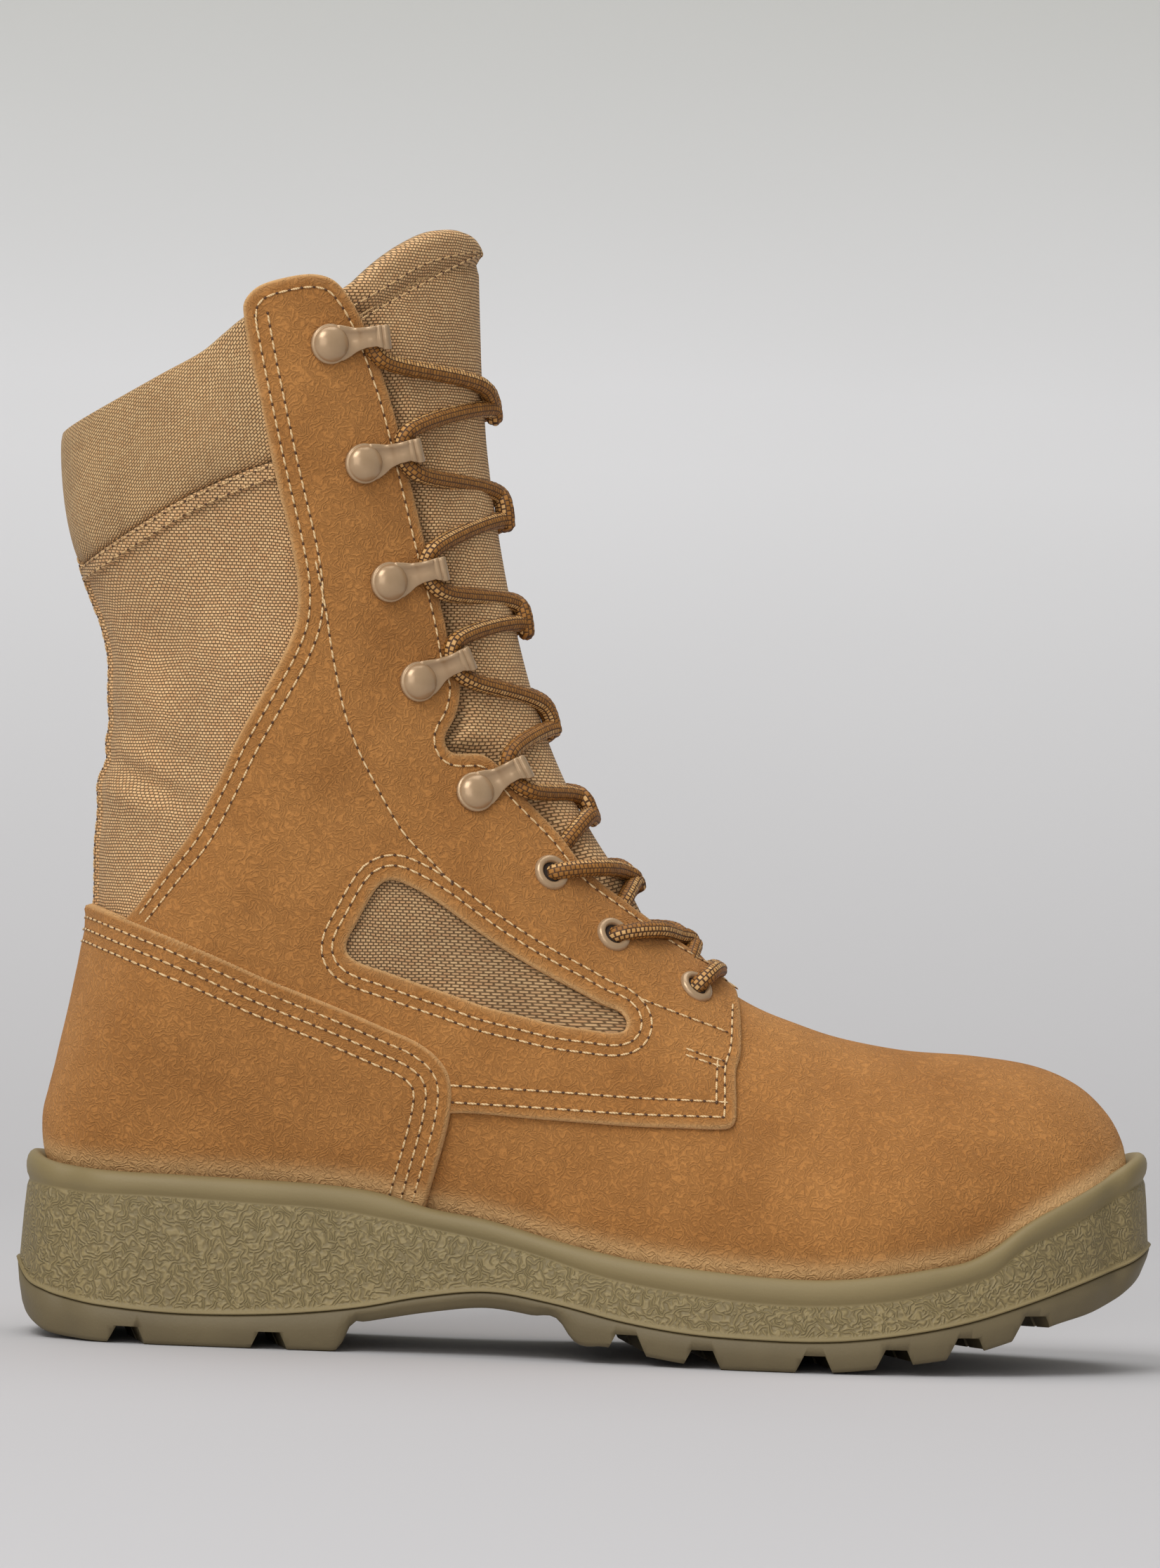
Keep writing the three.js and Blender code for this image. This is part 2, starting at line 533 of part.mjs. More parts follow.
// The tongue's columns follow the facings: each stands a stated distance inside their edge.
function makeTongue() {
  const { thick, bulge, under, rows } = TONGUE;
  const [from, to] = [8.3, 26.4];
  const grids = [[], []];
  for (let i = 0; i < rows; i += 1) {
    const u = from + (to - from) * i / (rows - 1);
    const walk = (way) => {
      let v = 0.5;
      return [...TONGUE_COLUMNS].reverse().map((depth, k) => {
        v += way * (k ? 0.008 : 0.02);
        const across = () => formPoint(u, 0.5).distanceTo(formPoint(u, v));
        const within = () => Math.abs(v - 0.5) < 0.24 && across() < 42 && throatDepth(formPoint(u, v)) > depth;
        while (within()) v += way * 0.002;
        return v;
      });
    };
    const [right, left] = [walk(-1), walk(1)];
    const middle = (v) => TONGUE_MIDDLE.map((share) => 0.5 + (v - 0.5) * share);
    const columns = [...right.reverse(), ...middle(right.at(-1)), 0.5, ...middle(left[0]).reverse(), ...left];
    const lines = [[], []];
    columns.forEach((v, j) => {
      const depth = throatDepth(formPoint(u, v));
      const rise = Math.min(1, Math.max(0, (depth - 1) / 4.5));
      const out = -under + (under + bulge) * rise * rise * (3 - 2 * rise);
      const edge = j === 0 || j === columns.length - 1;
      lines[0].push(formOffset(u, v, out));
      lines[1].push(formOffset(u, v, out - thick * (edge ? 0.5 : 1)));
    });
    grids[0].push(lines[0]);
    grids[1].push(lines[1]);
  }
  const outline = [...TONGUE_TOP, [160, 260], [200, 60], [60, 60]];
  const shell = loft(formRings(3 * GAP + QUARTER_LEATHER)).subtract(loft(formRings(-WALL - GAP)));
  const facings = shell.intersect(sidePrism(UPPER_OUTLINE.map(([x, z]) => [x + GAP, z + GAP])));
  return thickSheet(grids[0], grids[1]).intersect(sidePrism(outline)).subtract(facings);
}

// ---------- hooks, eyelets and lace ----------
// The point of the form at a side-view place, found by walking down a grid of the surface.
function onForm(x, z, side) {
  let best = { d: Infinity };
  let [u0, v0, du, dv] = [17, side < 0 ? 0.36 : 0.64, 9, 0.13];
  for (let round = 0; round < 9; round += 1) {
    for (let i = -6; i <= 6; i += 1) {
      for (let j = -6; j <= 6; j += 1) {
        const u = Math.min(formEnd, Math.max(0, u0 + du * i / 6));
        const v = v0 + dv * j / 6;
        const p = formPoint(u, v);
        const d = Math.hypot(p.x - x, p.z - z);
        if (d < best.d) best = { d, u, v, p };
      }
    }
    [u0, v0, du, dv] = [best.u, best.v, du / 3, dv / 3];
  }
  return { point: best.p, normal: formNormal(best.u, best.v) };
}

// A frame on the leather: Z out of the surface, X along the arm's direction in the side view.
function seat(x, z, side, turn, lift) {
  const { point, normal } = onForm(x, z, side);
  const a = turn * Math.PI / 180;
  const arm = new THREE.Vector3(Math.cos(a), 0, Math.sin(a));
  arm.addScaledVector(normal, -arm.dot(normal)).normalize();
  const across = normal.clone().cross(arm);
  return new THREE.Matrix4().makeBasis(arm, across, normal)
    .setPosition(point.clone().addScaledVector(normal, lift));
}

// A speed hook: a domed button, and a flat arm that leaves it and turns up and back over itself.
function hookShape() {
  const { button, dome, plate, arm, width, rise, sides } = HOOK;
  const profile = [
    [0, 0], [button, 0], [button, plate], [button * 0.6, plate + dome * 0.8], [0, plate + dome],
  ];
  const round = fromGeometry(
    new THREE.LatheGeometry(profile.map(([r, h]) => new THREE.Vector2(r, h)), sides).rotateX(Math.PI / 2),
  );
  const strip = [
    [1, 0], [arm - 3.2, 0], [arm - 3.2, -1.4], [arm, -1.4], [arm, rise - 1.2], [arm - 1.2, rise],
    [button + 0.6, rise], [button + 0.6, rise - plate], [arm - 1.6, rise - plate],
    [arm - 1.6, plate], [1, plate],
  ].map(([x, h]) => (h < 0 ? [x, 0] : [x, h]));
  const clean = strip.filter((p, i) => i === 0 || p[0] !== strip[i - 1][0] || p[1] !== strip[i - 1][1]);
  const shape = new THREE.Shape(clean.map(([x, h]) => new THREE.Vector2(x, h)));
  const bar = new THREE.ExtrudeGeometry(shape, { depth: width, bevelEnabled: false });
  bar.rotateX(Math.PI / 2);
  bar.translate(0, width / 2, 0);
  return round.add(fromGeometry(bar));
}

function eyeletShape() {
  const { outer, inner, thick, sides } = EYELET;
  const ring = [[inner, 0], [outer, 0], [outer - 0.5, thick], [inner, thick], [inner, 0]];
  return fromGeometry(
    new THREE.LatheGeometry(ring.map(([r, h]) => new THREE.Vector2(r, h)), sides).rotateX(Math.PI / 2),
  );
}

// One strand of lace along a curve, closed at both ends.
function strand(points) {
  const { diameter, sides, steps } = LACE;
  const outline = Array.from({ length: sides }, (_, i) => {
    const a = 2 * Math.PI * i / sides;
    return new THREE.Vector2(Math.cos(a), Math.sin(a)).multiplyScalar(diameter / 2);
  });
  const path = new THREE.CatmullRomCurve3(points, false, 'centripetal');
  const tube = new THREE.ExtrudeGeometry(new THREE.Shape(outline), {
    steps, extrudePath: path, bevelEnabled: false,
  });
  return fromGeometry(tube);
}

// Where the lace passes a holder, on either side: beyond the edge of the facing, and below (-1) or
// above (1) the holder's arm.
const LACE_LIFT = 5.2;
function lacePass(index, side, above) {
  const eyelets = EYELETS_AT.map(([x, z]) => ({ x, z, turn: 34, arm: 7 }));
  const holders = [...eyelets, ...HOOKS_AT.map((hook) => ({ ...hook, arm: 15.5 }))];
  const { x, z, turn, arm } = holders[index];
  const place = seat(x, z, side, turn, LACE_LIFT);
  return new THREE.Vector3(arm, -side * above * LACE_APART, 0).applyMatrix4(place);
}
const LACE_APART = 2.9;

function makeCrossing(index) {
  const [x, z] = CROSSINGS[index];
  const strands = [-1, 1].map((side) => {
    const start = lacePass(index, side, 1);
    const end = lacePass(index + 1, -side, -1);
    const apex = new THREE.Vector3(x - 1.5 * side, 0, z);
    const ease = (p) => p.clone().lerp(apex, 0.5).add(new THREE.Vector3(3, Math.sign(p.y) * 2.4, 1.4));
    return strand([start, ease(start), apex, ease(end), end]);
  });
  return strands[0].add(strands[1]);
}

function makeLaceBar() {
  const [x, z] = LACE_BAR;
  const [outer, inner] = [-1, 1].map((side) => lacePass(0, side, -1));
  const apex = new THREE.Vector3(x, 0, z);
  const ease = (end) => end.clone().lerp(apex, 0.5).add(new THREE.Vector3(1.6, 0, 1.6));
  return strand([outer, ease(outer), apex, ease(inner), inner]);
}

// ---------- assembly ----------
const boot = new THREE.Group();
const SIDES = [['outer', -1], ['inner', 1]];

boot.add(meshOf('outsole', makeOutsole(), RUBBER));
boot.add(meshOf('midsole', makeMidsole(), FOAM_RUBBER));
boot.add(meshOf('insole', makeInsole(), LINING));
boot.add(meshOf('upper', makeUpper(), NYLON));
boot.add(meshOf('heel_counter', makeCounter(), SUEDE));
SIDES.forEach(([name]) => boot.add(meshOf(`quarter_${name}`, makeQuarter(name), SUEDE)));
boot.add(meshOf('tongue', makeTongue(), NYLON));

const onLeather = 2 * GAP + QUARTER_LEATHER;
SIDES.forEach(([name, side]) => {
  EYELETS_AT.forEach(([x, z], i) => {
    const mesh = meshOf(`eyelet_${name}_${i + 1}`, eyeletShape(), METAL);
    mesh.applyMatrix4(seat(x, z, side, 34, onLeather + 0.3));
    boot.add(mesh);
  });
  HOOKS_AT.forEach(({ x, z, turn }, i) => {
    const mesh = meshOf(`hook_${name}_${i + 1}`, hookShape(), METAL);
    mesh.applyMatrix4(seat(x, z, side, turn, onLeather + 0.5));
    boot.add(mesh);
  });
});

boot.add(meshOf('lace_bar', makeLaceBar(), CORD));
CROSSINGS.forEach((_, i) => boot.add(meshOf(`lace_crossing_${i + 1}`, makeCrossing(i), CORD)));

export default boot;
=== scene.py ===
import math

import bmesh
import bpy
import numpy as np
from mathutils import Matrix, Vector
from mathutils.geometry import delaunay_2d_cdt
from mathutils.kdtree import KDTree


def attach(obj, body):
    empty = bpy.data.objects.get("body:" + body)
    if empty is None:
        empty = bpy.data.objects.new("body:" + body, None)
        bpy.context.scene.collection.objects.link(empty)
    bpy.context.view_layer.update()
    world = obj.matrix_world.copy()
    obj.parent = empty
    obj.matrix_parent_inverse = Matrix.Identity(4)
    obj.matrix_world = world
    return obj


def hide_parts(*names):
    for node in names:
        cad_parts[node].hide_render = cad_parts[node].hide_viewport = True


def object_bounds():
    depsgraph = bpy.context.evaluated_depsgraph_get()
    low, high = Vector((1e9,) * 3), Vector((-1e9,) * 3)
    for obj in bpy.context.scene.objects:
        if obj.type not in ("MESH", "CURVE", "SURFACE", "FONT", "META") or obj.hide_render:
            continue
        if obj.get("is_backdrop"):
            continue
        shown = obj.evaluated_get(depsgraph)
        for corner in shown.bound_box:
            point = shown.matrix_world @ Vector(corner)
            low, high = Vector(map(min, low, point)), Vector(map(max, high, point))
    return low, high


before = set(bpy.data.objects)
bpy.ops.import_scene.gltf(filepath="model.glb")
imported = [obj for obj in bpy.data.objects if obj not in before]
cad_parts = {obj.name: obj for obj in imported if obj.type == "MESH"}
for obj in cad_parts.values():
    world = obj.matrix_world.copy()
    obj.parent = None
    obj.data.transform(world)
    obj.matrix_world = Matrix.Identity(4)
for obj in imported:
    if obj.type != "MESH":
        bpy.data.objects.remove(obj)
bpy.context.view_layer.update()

# ---------------------------------------------------------------- the studio
# The boot stands on a pale seamless sweep, lit by a broad key light, a fill and a soft light overhead.
# The camera is level with the ankle, square to the outer side, far off, and rolled by 2 degrees.
MM = 0.001


def linear(hex_colour):
    """An sRGB hex colour as linear RGBA."""
    channels = [int(hex_colour[i:i + 2], 16) / 255 for i in (1, 3, 5)]
    return [c / 12.92 if c <= 0.04045 else ((c + 0.055) / 1.055) ** 2.4 for c in channels] + [1.0]


def add(tree, kind, settings=None, inputs=None):
    """Adds a node. Inputs hold a value, or the socket that it is linked from."""
    made = tree.nodes.new(kind)
    for name, value in (settings or {}).items():
        setattr(made, name, value)
    for name, value in (inputs or {}).items():
        socket = made.inputs[name]
        if isinstance(value, bpy.types.NodeSocket):
            tree.links.new(value, socket)
        else:
            socket.default_value = value
    return made


def new_finish(name):
    """An empty material: the material, its tree and its output."""
    material = bpy.data.materials.new(name)
    material.use_nodes = True
    material.node_tree.nodes.clear()
    return material, material.node_tree, add(material.node_tree, "ShaderNodeOutputMaterial")


def mesh_piece(name, points, faces, smooth=True):
    """An object from points in millimetres and lists of point numbers."""
    mesh = bpy.data.meshes.new(name)
    mesh.from_pydata((np.asarray(points) * MM).tolist(), [], [list(map(int, f)) for f in faces])
    mesh.update()
    mesh.polygons.foreach_set("use_smooth", [smooth] * len(mesh.polygons))
    piece = bpy.data.objects.new(name, mesh)
    bpy.context.scene.collection.objects.link(piece)
    return piece


FLOOR_WIDTH, FLOOR_FRONT, FLOOR_BACK, SWEEP_RADIUS, WALL_TOP = 9000, -5000, 700, 1500, 5200
sweep = [(FLOOR_FRONT, 0.0)]
for step in range(25):
    angle = math.pi / 2 * step / 24
    sweep.append((FLOOR_BACK + SWEEP_RADIUS * math.sin(angle), SWEEP_RADIUS * (1 - math.cos(angle))))
sweep.append((FLOOR_BACK + SWEEP_RADIUS, WALL_TOP))
floor = mesh_piece(
    "studio_sweep",
    [(x, y, z) for y, z in sweep for x in (-FLOOR_WIDTH / 2, FLOOR_WIDTH / 2)],
    [(2 * i, 2 * i + 1, 2 * i + 3, 2 * i + 2) for i in range(len(sweep) - 1)],
)
paper, tree, output = new_finish("matt_backdrop_paper")
# Pale grey paper, faintly mottled, a little darker and warmer towards its top. The floor and the foot of
# the sweep are painted darker, as shade round the boot.
place = add(tree, "ShaderNodeTexCoord")
mottle = add(tree, "ShaderNodeTexNoise", inputs={
    "Vector": place.outputs["Object"], "Scale": 3.0, "Detail": 2.0})
tint = add(tree, "ShaderNodeMix", {"data_type": "RGBA"}, {
    "Factor": mottle.outputs["Fac"], 6: linear("#d4d3d3"), 7: linear("#dbdadb")})
apart = add(tree, "ShaderNodeSeparateXYZ", inputs={"Vector": place.outputs["Object"]})
height = add(tree, "ShaderNodeMapRange", inputs={
    "Value": apart.outputs["Z"], "From Min": 0.34, "From Max": 0.72})
toned = add(tree, "ShaderNodeMix", {"data_type": "RGBA"}, {
    "Factor": height.outputs[0], 6: tint.outputs[2], 7: linear("#b2b2aa")})
# Painted shade: the paper turns darker towards the floor, over its lowest 0.3 m.
lower = add(tree, "ShaderNodeMapRange", inputs={
    "Value": apart.outputs["Z"], "From Min": 0.0, "From Max": 0.3, "To Min": 1.0, "To Max": 0.0})
shaded = add(tree, "ShaderNodeMix", {"data_type": "RGBA"}, {
    "Factor": lower.outputs[0], 6: toned.outputs[2], 7: linear("#bfbdbe")})
shader = add(tree, "ShaderNodeBsdfPrincipled", inputs={"Base Color": shaded.outputs[2], "Roughness": 0.95})
tree.links.new(shader.outputs[0], output.inputs["Surface"])
floor.data.materials.append(paper)
floor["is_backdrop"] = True

CAMERA_DISTANCE, CAMERA_X, CAMERA_HEIGHT, CAMERA_ROLL = 2.2, 0.0977, 0.1527, math.radians(2.09)
camera_data = bpy.data.cameras.new("camera")
camera_data.sensor_width = 36.0
camera_data.lens = 187.3
camera_data.clip_end = 40.0
camera = bpy.data.objects.new("camera", camera_data)
bpy.context.scene.collection.objects.link(camera)
right = Vector((math.cos(CAMERA_ROLL), 0, math.sin(CAMERA_ROLL)))
up = Vector((-math.sin(CAMERA_ROLL), 0, math.cos(CAMERA_ROLL)))
camera.matrix_world = Matrix((right, up, Vector((0, -1, 0)))).transposed().to_4x4()
camera.location = (CAMERA_X, -CAMERA_DISTANCE, CAMERA_HEIGHT)
bpy.context.scene.camera = camera

# Each light: where it is, what it looks at, its size and its power.
for name, place, target, size, power in [
    ("key_light", (-0.9, -1.9, 2.3), (0.08, 0.0, 0.12), 1.5, 49.0),
    ("fill_light", (-0.5, -2.8, 0.6), (0.08, 0.0, 0.1), 2.0, 22.0),
    ("top_light", (0.1, 0.5, 2.6), (0.1, 0.1, 0.0), 2.2, 30.0),
]:
    lamp = bpy.data.lights.new(name, "AREA")
    lamp.size = size
    lamp.energy = power
    light = bpy.data.objects.new(name, lamp)
    light.location = place
    light.rotation_mode = "QUATERNION"
    light.rotation_quaternion = (Vector(target) - Vector(place)).to_track_quat("-Z", "Y")
    bpy.context.scene.collection.objects.link(light)
world = bpy.data.worlds.new("studio_air")
world.use_nodes = True
world.node_tree.nodes["Background"].inputs["Color"].default_value = linear("#f0f1f2")
world.node_tree.nodes["Background"].inputs["Strength"].default_value = 0.42
bpy.context.scene.world = world
bpy.context.scene.view_settings.view_transform = "Standard"

# ---------------------------------------------------------------- outsole
# A moulded rubber tread in brown olive, 18 mm deep at the heel, with a raised arch and toe spring.
# Trapezoid grooves run across it in a shallow V and open at both edges; two channels run along it.
SOLE_OUTLINE = np.array([  # x, half width on the outer side, half width on the inner side
    (-49, 0, 0), (-35, 29, 29), (-15, 38.5, 38), (10, 40.5, 39), (45, 41, 36.5), (75, 44, 35),
    (105, 50.5, 40), (135, 56.5, 49), (160, 58, 54), (185, 55.5, 54.5), (210, 48.5, 49.5),
    (230, 37.5, 42), (245, 22, 31.5), (256, -7, 7)])
PARTING_LINE = [
    (-49, 20), (-46, 16), (-40, 13), (-30, 10.8), (-20, 9.7), (-4, 8.9), (16, 9.3), (32, 10.6), (45, 12.4),
    (60, 15.6), (79, 17.8), (96, 15.5), (114, 11.7), (131, 9.4), (148, 8.6), (171, 8.9), (188, 11),
    (206, 14.8), (223, 20.3), (240, 26.6), (251, 31), (256, 34)]
TREAD_LINE = [
    (-49, 10), (-46, 6), (-42, 2.8), (-36, 1), (-30, 0.4), (-22, 0), (-12, 0), (4, 0), (20, 0),
    (32, 0), (36.5, 0), (38, 0), (39.4, 1.2), (42.4, 7.5), (46, 8.2), (52, 9.4), (64, 11.6),
    (79, 13.2), (90, 11.9), (97.6, 10.6), (100.6, 6.4), (110, 4.5), (121, 2.5), (130, 1.2), (139, 0),
    (146, 0), (155, 0), (162, 0), (170, 0.3), (182, 1.6), (192, 3.1), (201, 4.6), (210, 7), (219, 10),
    (228, 13.4), (244, 19.2), (251, 24), (256, 29)]
GROOVES_AT = [-17, 20.7, 115.2, 135.2, 164.8, 186.3, 205.4, 223.3]
GROOVE_DEPTH, GROOVE_MOUTH, GROOVE_ROOT = 4.7, 10.0, 5.6
GROOVE_PROFILE = [  # along the sole, and up from the tread
    (-GROOVE_MOUTH / 2 - 2, -4), (-GROOVE_MOUTH / 2, 0), (-GROOVE_ROOT / 2, GROOVE_DEPTH),
    (GROOVE_ROOT / 2, GROOVE_DEPTH), (GROOVE_MOUTH / 2, 0), (GROOVE_MOUTH / 2 + 2, -4)]
GROOVE_SWEEP, GROOVE_KNEE = 7.0, 38.0  # how far its middle is swept back, and where it runs straight
CHANNEL_WIDTH, CHANNEL_OFF_MIDDLE = 3.2, 19.0
CHANNELS_RUN = [(-34, 33), (106, 232)]  # under the heel and under the forefoot, along x


def through(points, x):
    """A smooth line through points, read at x."""
    table = np.asarray(points, float)
    i = np.clip(np.searchsorted(table[:, 0], x, side="right") - 1, 0, len(table) - 2)
    span = table[i + 1, 0] - table[i, 0]
    t = np.clip((x - table[i, 0]) / span, 0, 1)
    slopes = np.gradient(table[:, 1], table[:, 0])
    y0, y1, m0, m1 = table[i, 1], table[i + 1, 1], slopes[i] * span, slopes[i + 1] * span
    return (y0 * (2 * t**3 - 3 * t**2 + 1) + m0 * (t**3 - 2 * t**2 + t)
            + y1 * (3 * t**2 - 2 * t**3) + m1 * (t**3 - t**2))


def sole_outline(inset, steps=420):
    """The sole's outline seen from above, drawn in by an inset: evenly spaced points, counterclockwise."""
    table = SOLE_OUTLINE
    dense = []
    for column, sign in ((1, -1), (2, 1)):
        share = (1 - np.cos(np.linspace(0, math.pi, 400))) / 2
        x = table[0, 0] + (table[-1, 0] - table[0, 0]) * share
        # The squared half width is smooth where the outline turns back at the heel and the toe.
        y = through(table[:, (0, column)], x)
        heel = x < table[1, 0]
        t = (x - table[0, 0]) / (table[1, 0] - table[0, 0])
        y = np.where(heel, table[1, column] * np.sqrt(np.clip(t * (2 - t), 0, 1)), y)
        toe = x > table[-2, 0]
        t = np.clip((x - table[-2, 0]) / (table[-1, 0] - table[-2, 0]), 0, 1)
        tip, last = table[-1, column], table[-2, column]
        y = np.where(toe, tip + (last - tip) * np.sqrt(1 - t**2), y)
        dense.append(np.stack([x, sign * y], 1))
    ring = np.concatenate([dense[0], dense[1][::-1][1:-1]])
    for _ in range(14):
        ring = 0.5 * ring + 0.25 * (np.roll(ring, 1, 0) + np.roll(ring, -1, 0))
    length = np.concatenate([[0], np.cumsum(np.linalg.norm(np.roll(ring, -1, 0) - ring, axis=1))])
    closed = np.concatenate([ring, ring[:1]])
    at = np.linspace(0, length[-1], steps, endpoint=False)
    ring = np.stack([np.interp(at, length, closed[:, k]) for k in (0, 1)], 1)
    along = np.roll(ring, -1, 0) - np.roll(ring, 1, 0)
    along /= np.linalg.norm(along, axis=1)[:, None]
    return ring + inset * np.stack([-along[:, 1], along[:, 0]], 1)


def ringed(rings, close_low=False, close_high=False):
    """Faces between rings of equal length, stacked upwards; each end may be closed with strips."""
    n = len(rings[0])
    faces = [(k * n + j, k * n + (j + 1) % n, (k + 1) * n + (j + 1) % n, (k + 1) * n + j)
             for k in range(len(rings) - 1) for j in range(n)]
    for base, shut, flip in ((0, close_low, True), ((len(rings) - 1) * n, close_high, False)):
        if shut:
            for i in range(n // 2):
                quad = [base + i, base + i + 1, base + (n - i - 1) % n, base + (n - i) % n]
                quad = list(dict.fromkeys(quad))
                faces.append(quad[::-1] if flip else quad)
    return faces


def end_caps(rings):
    """The two faces that close a run of rings at its first and its last ring."""
    n, total = len(rings[0]), len(rings[0]) * len(rings)
    return [tuple(reversed(range(n))), tuple(range(total - n, total))]


def heel_first(ring):
    """The ring started at its rearmost point, so that its two halves face each other."""
    return np.roll(ring, -int(np.argmin(ring[:, 0])), 0)


def face_out(piece):
    """Turns a closed piece's faces outwards."""
    shape = bmesh.new()
    shape.from_mesh(piece.data)
    bmesh.ops.recalc_face_normals(shape, faces=shape.faces)
    shape.to_mesh(piece.data)
    shape.free()


def cut_away(piece, cutters):
    """Takes the cutters' shapes out of a piece and removes them."""
    for cutter in cutters:
        face_out(cutter)
        boolean = piece.modifiers.new("cut", "BOOLEAN")
        boolean.operation = "DIFFERENCE"
        boolean.solver = "EXACT"
        boolean.object = cutter
    evaluated = piece.evaluated_get(bpy.context.evaluated_depsgraph_get())
    made = bpy.data.meshes.new_from_object(evaluated)
    piece.modifiers.clear()
    piece.data = made
    for cutter in cutters:
        bpy.data.objects.remove(cutter)


rings = []
for inset, height in [
    (3.4, lambda x: through(TREAD_LINE, x)),
    (2.0, lambda x: through(TREAD_LINE, x) + 0.35),
    (1.4, lambda x: through(TREAD_LINE, x) + 1.3),
    (0.5, lambda x: (through(TREAD_LINE, x) + through(PARTING_LINE, x)) / 2),
    (0.0, lambda x: through(PARTING_LINE, x) - 0.9),
    (0.5, lambda x: through(PARTING_LINE, x) - 0.35),
    (2.5, lambda x: through(PARTING_LINE, x) - 0.3),
]:
    flat = heel_first(sole_outline(inset))
    rings.append(np.column_stack([flat, height(flat[:, 0])]))
outsole = mesh_piece("outsole_tread", np.concatenate(rings), ringed(rings, True, True))
cutters = []
for x0 in GROOVES_AT:
    base = float(through(TREAD_LINE, np.array([x0]))[0])
    for side in (-1, 1):
        loops = []
        for y in (-0.6 * side, GROOVE_KNEE * side, 75.0 * side):
            sweep_back = GROOVE_SWEEP * (1 - min(1.0, abs(y) / GROOVE_KNEE))
            loops.append([(x0 - sweep_back + dx, y, base + dz) for dx, dz in GROOVE_PROFILE])
        faces = ringed(loops) + end_caps(loops)
        if side > 0:
            faces = [tuple(reversed(f)) for f in faces]
        cutters.append(mesh_piece("groove", np.concatenate(loops), faces, smooth=False))
half = CHANNEL_WIDTH / 2
for x0, x1 in CHANNELS_RUN:
    for y in (-CHANNEL_OFF_MIDDLE, CHANNEL_OFF_MIDDLE):
        xs = np.linspace(x0, x1, 12)
        roof = np.maximum(through(TREAD_LINE, xs), 0) + GROOVE_DEPTH * 0.8
        loops = [[(x, y - half - 0.6, -6), (x, y - half, z), (x, y + half, z), (x, y + half + 0.6, -6)]
                 for x, z in zip(xs, roof)]
        faces = [tuple(reversed(f)) for f in ringed(loops) + end_caps(loops)]
        cutters.append(mesh_piece("channel", np.concatenate(loops), faces, smooth=False))
cut_away(outsole, cutters)
rubber, tree, output = new_finish("moulded_rubber_brown_olive")
# Solid rubber from a blasted steel mould: matt with a faint sheen, a little uneven where it has dusted.
place = add(tree, "ShaderNodeTexCoord")
cloud = add(tree, "ShaderNodeTexNoise", inputs={
    "Vector": place.outputs["Object"], "Scale": 45.0, "Detail": 4.0})
tint = add(tree, "ShaderNodeMix", {"data_type": "RGBA"}, {
    "Factor": cloud.outputs["Fac"], 6: linear("#5f5238"), 7: linear("#7b6d4d")})
grit = add(tree, "ShaderNodeTexNoise", inputs={
    "Vector": place.outputs["Object"], "Scale": 1600.0, "Detail": 2.0})
dimple = add(tree, "ShaderNodeBump", inputs={
    "Height": grit.outputs["Fac"], "Strength": 0.35, "Distance": 0.0002})
shader = add(tree, "ShaderNodeBsdfPrincipled", inputs={
    "Base Color": tint.outputs[2], "Roughness": 0.62, "IOR": 1.52, "Normal": dimple.outputs[0]})
tree.links.new(shader.outputs[0], output.inputs["Surface"])
outsole.data.materials.append(rubber)
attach(outsole, "root")
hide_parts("outsole")

# ---------------------------------------------------------------- midsole
# An olive foam-rubber cup, moulded onto the upper. A smooth rounded lip runs right round its top, and
# the wall under the lip carries a fine worm-like texture. A thin flash line shows where it meets the tread.
LIP_TOP = [
    (-49, 50), (-46, 49.4), (-41, 47.6), (-34, 46.3), (-25, 45.7), (-5, 45.3), (14, 44.8), (34, 44.1),
    (44, 43.2), (52, 41.7), (60, 39.4), (78, 36.4), (97, 31.6), (117, 27.7), (136, 25.8), (155, 24.6),
    (168, 24.6), (180, 25.8), (194, 28.1), (206, 31), (212, 34.4), (218, 39), (230, 46.2), (240, 51.6),
    (247, 56), (252, 58.5), (256, 59.5)]
LIP_FOOT = [
    (-49, 41), (-45, 40.5), (-31, 39), (-12, 39), (14.5, 38), (34, 37.3), (52, 34.9), (90, 27.7),
    (107.5, 22.7), (131, 19), (148, 17.4), (171, 17.5), (188, 19.6), (203, 23.8), (212, 26.9),
    (219.5, 33.4), (228, 37.4), (239.5, 43.6), (248, 48.5), (253, 51), (256, 52)]


def lip(share, drop=0.0):
    """The height of a line between the lip's foot (0) and its top (1), less a drop."""
    return lambda x: through(LIP_FOOT, x) * (1 - share) + through(LIP_TOP, x) * share - drop


def wall(share, rise=0.0):
    """The height of a line between the parting line (0) and the lip's foot (1), plus a rise."""
    return lambda x: through(PARTING_LINE, x) * (1 - share) + through(LIP_FOOT, x) * share + rise


rings = []
for inset, height in [
    (9.0, wall(0, -0.25)), (1.2, wall(0, -0.25)), (-0.1, wall(0, -0.15)), (-0.45, wall(0, 0.15)),
    (-0.1, wall(0, 0.5)), (0.35, wall(0, 0.75)), (0.5, wall(0, 1.6)), (0.75, wall(0.3)), (1.2, wall(0.65)),
    (1.75, wall(0.94)), (2.1, wall(1.0)), (2.35, lip(0.05)), (2.15, lip(0.13)), (1.65, lip(0.25)),
    (1.4, lip(0.42)), (1.4, lip(0.58)), (1.7, lip(0.75)), (2.3, lip(0.88)), (3.1, lip(0.965)),
    (4.0, lip(1)), (5.0, lip(1, 0.15)), (6.2, lip(1, 0.8)), (9.0, lip(1, 2.2)), (13.0, lip(1, 8.0)),
    (15.0, lip(1, 9.0)),
]:
    flat = heel_first(sole_outline(inset))
    rings.append(np.column_stack([flat, height(flat[:, 0])]))
midsole = mesh_piece("midsole_cup", np.concatenate(rings), ringed(rings, True, True))

foam_rubber, tree, output = new_finish("moulded_foam_rubber_olive")
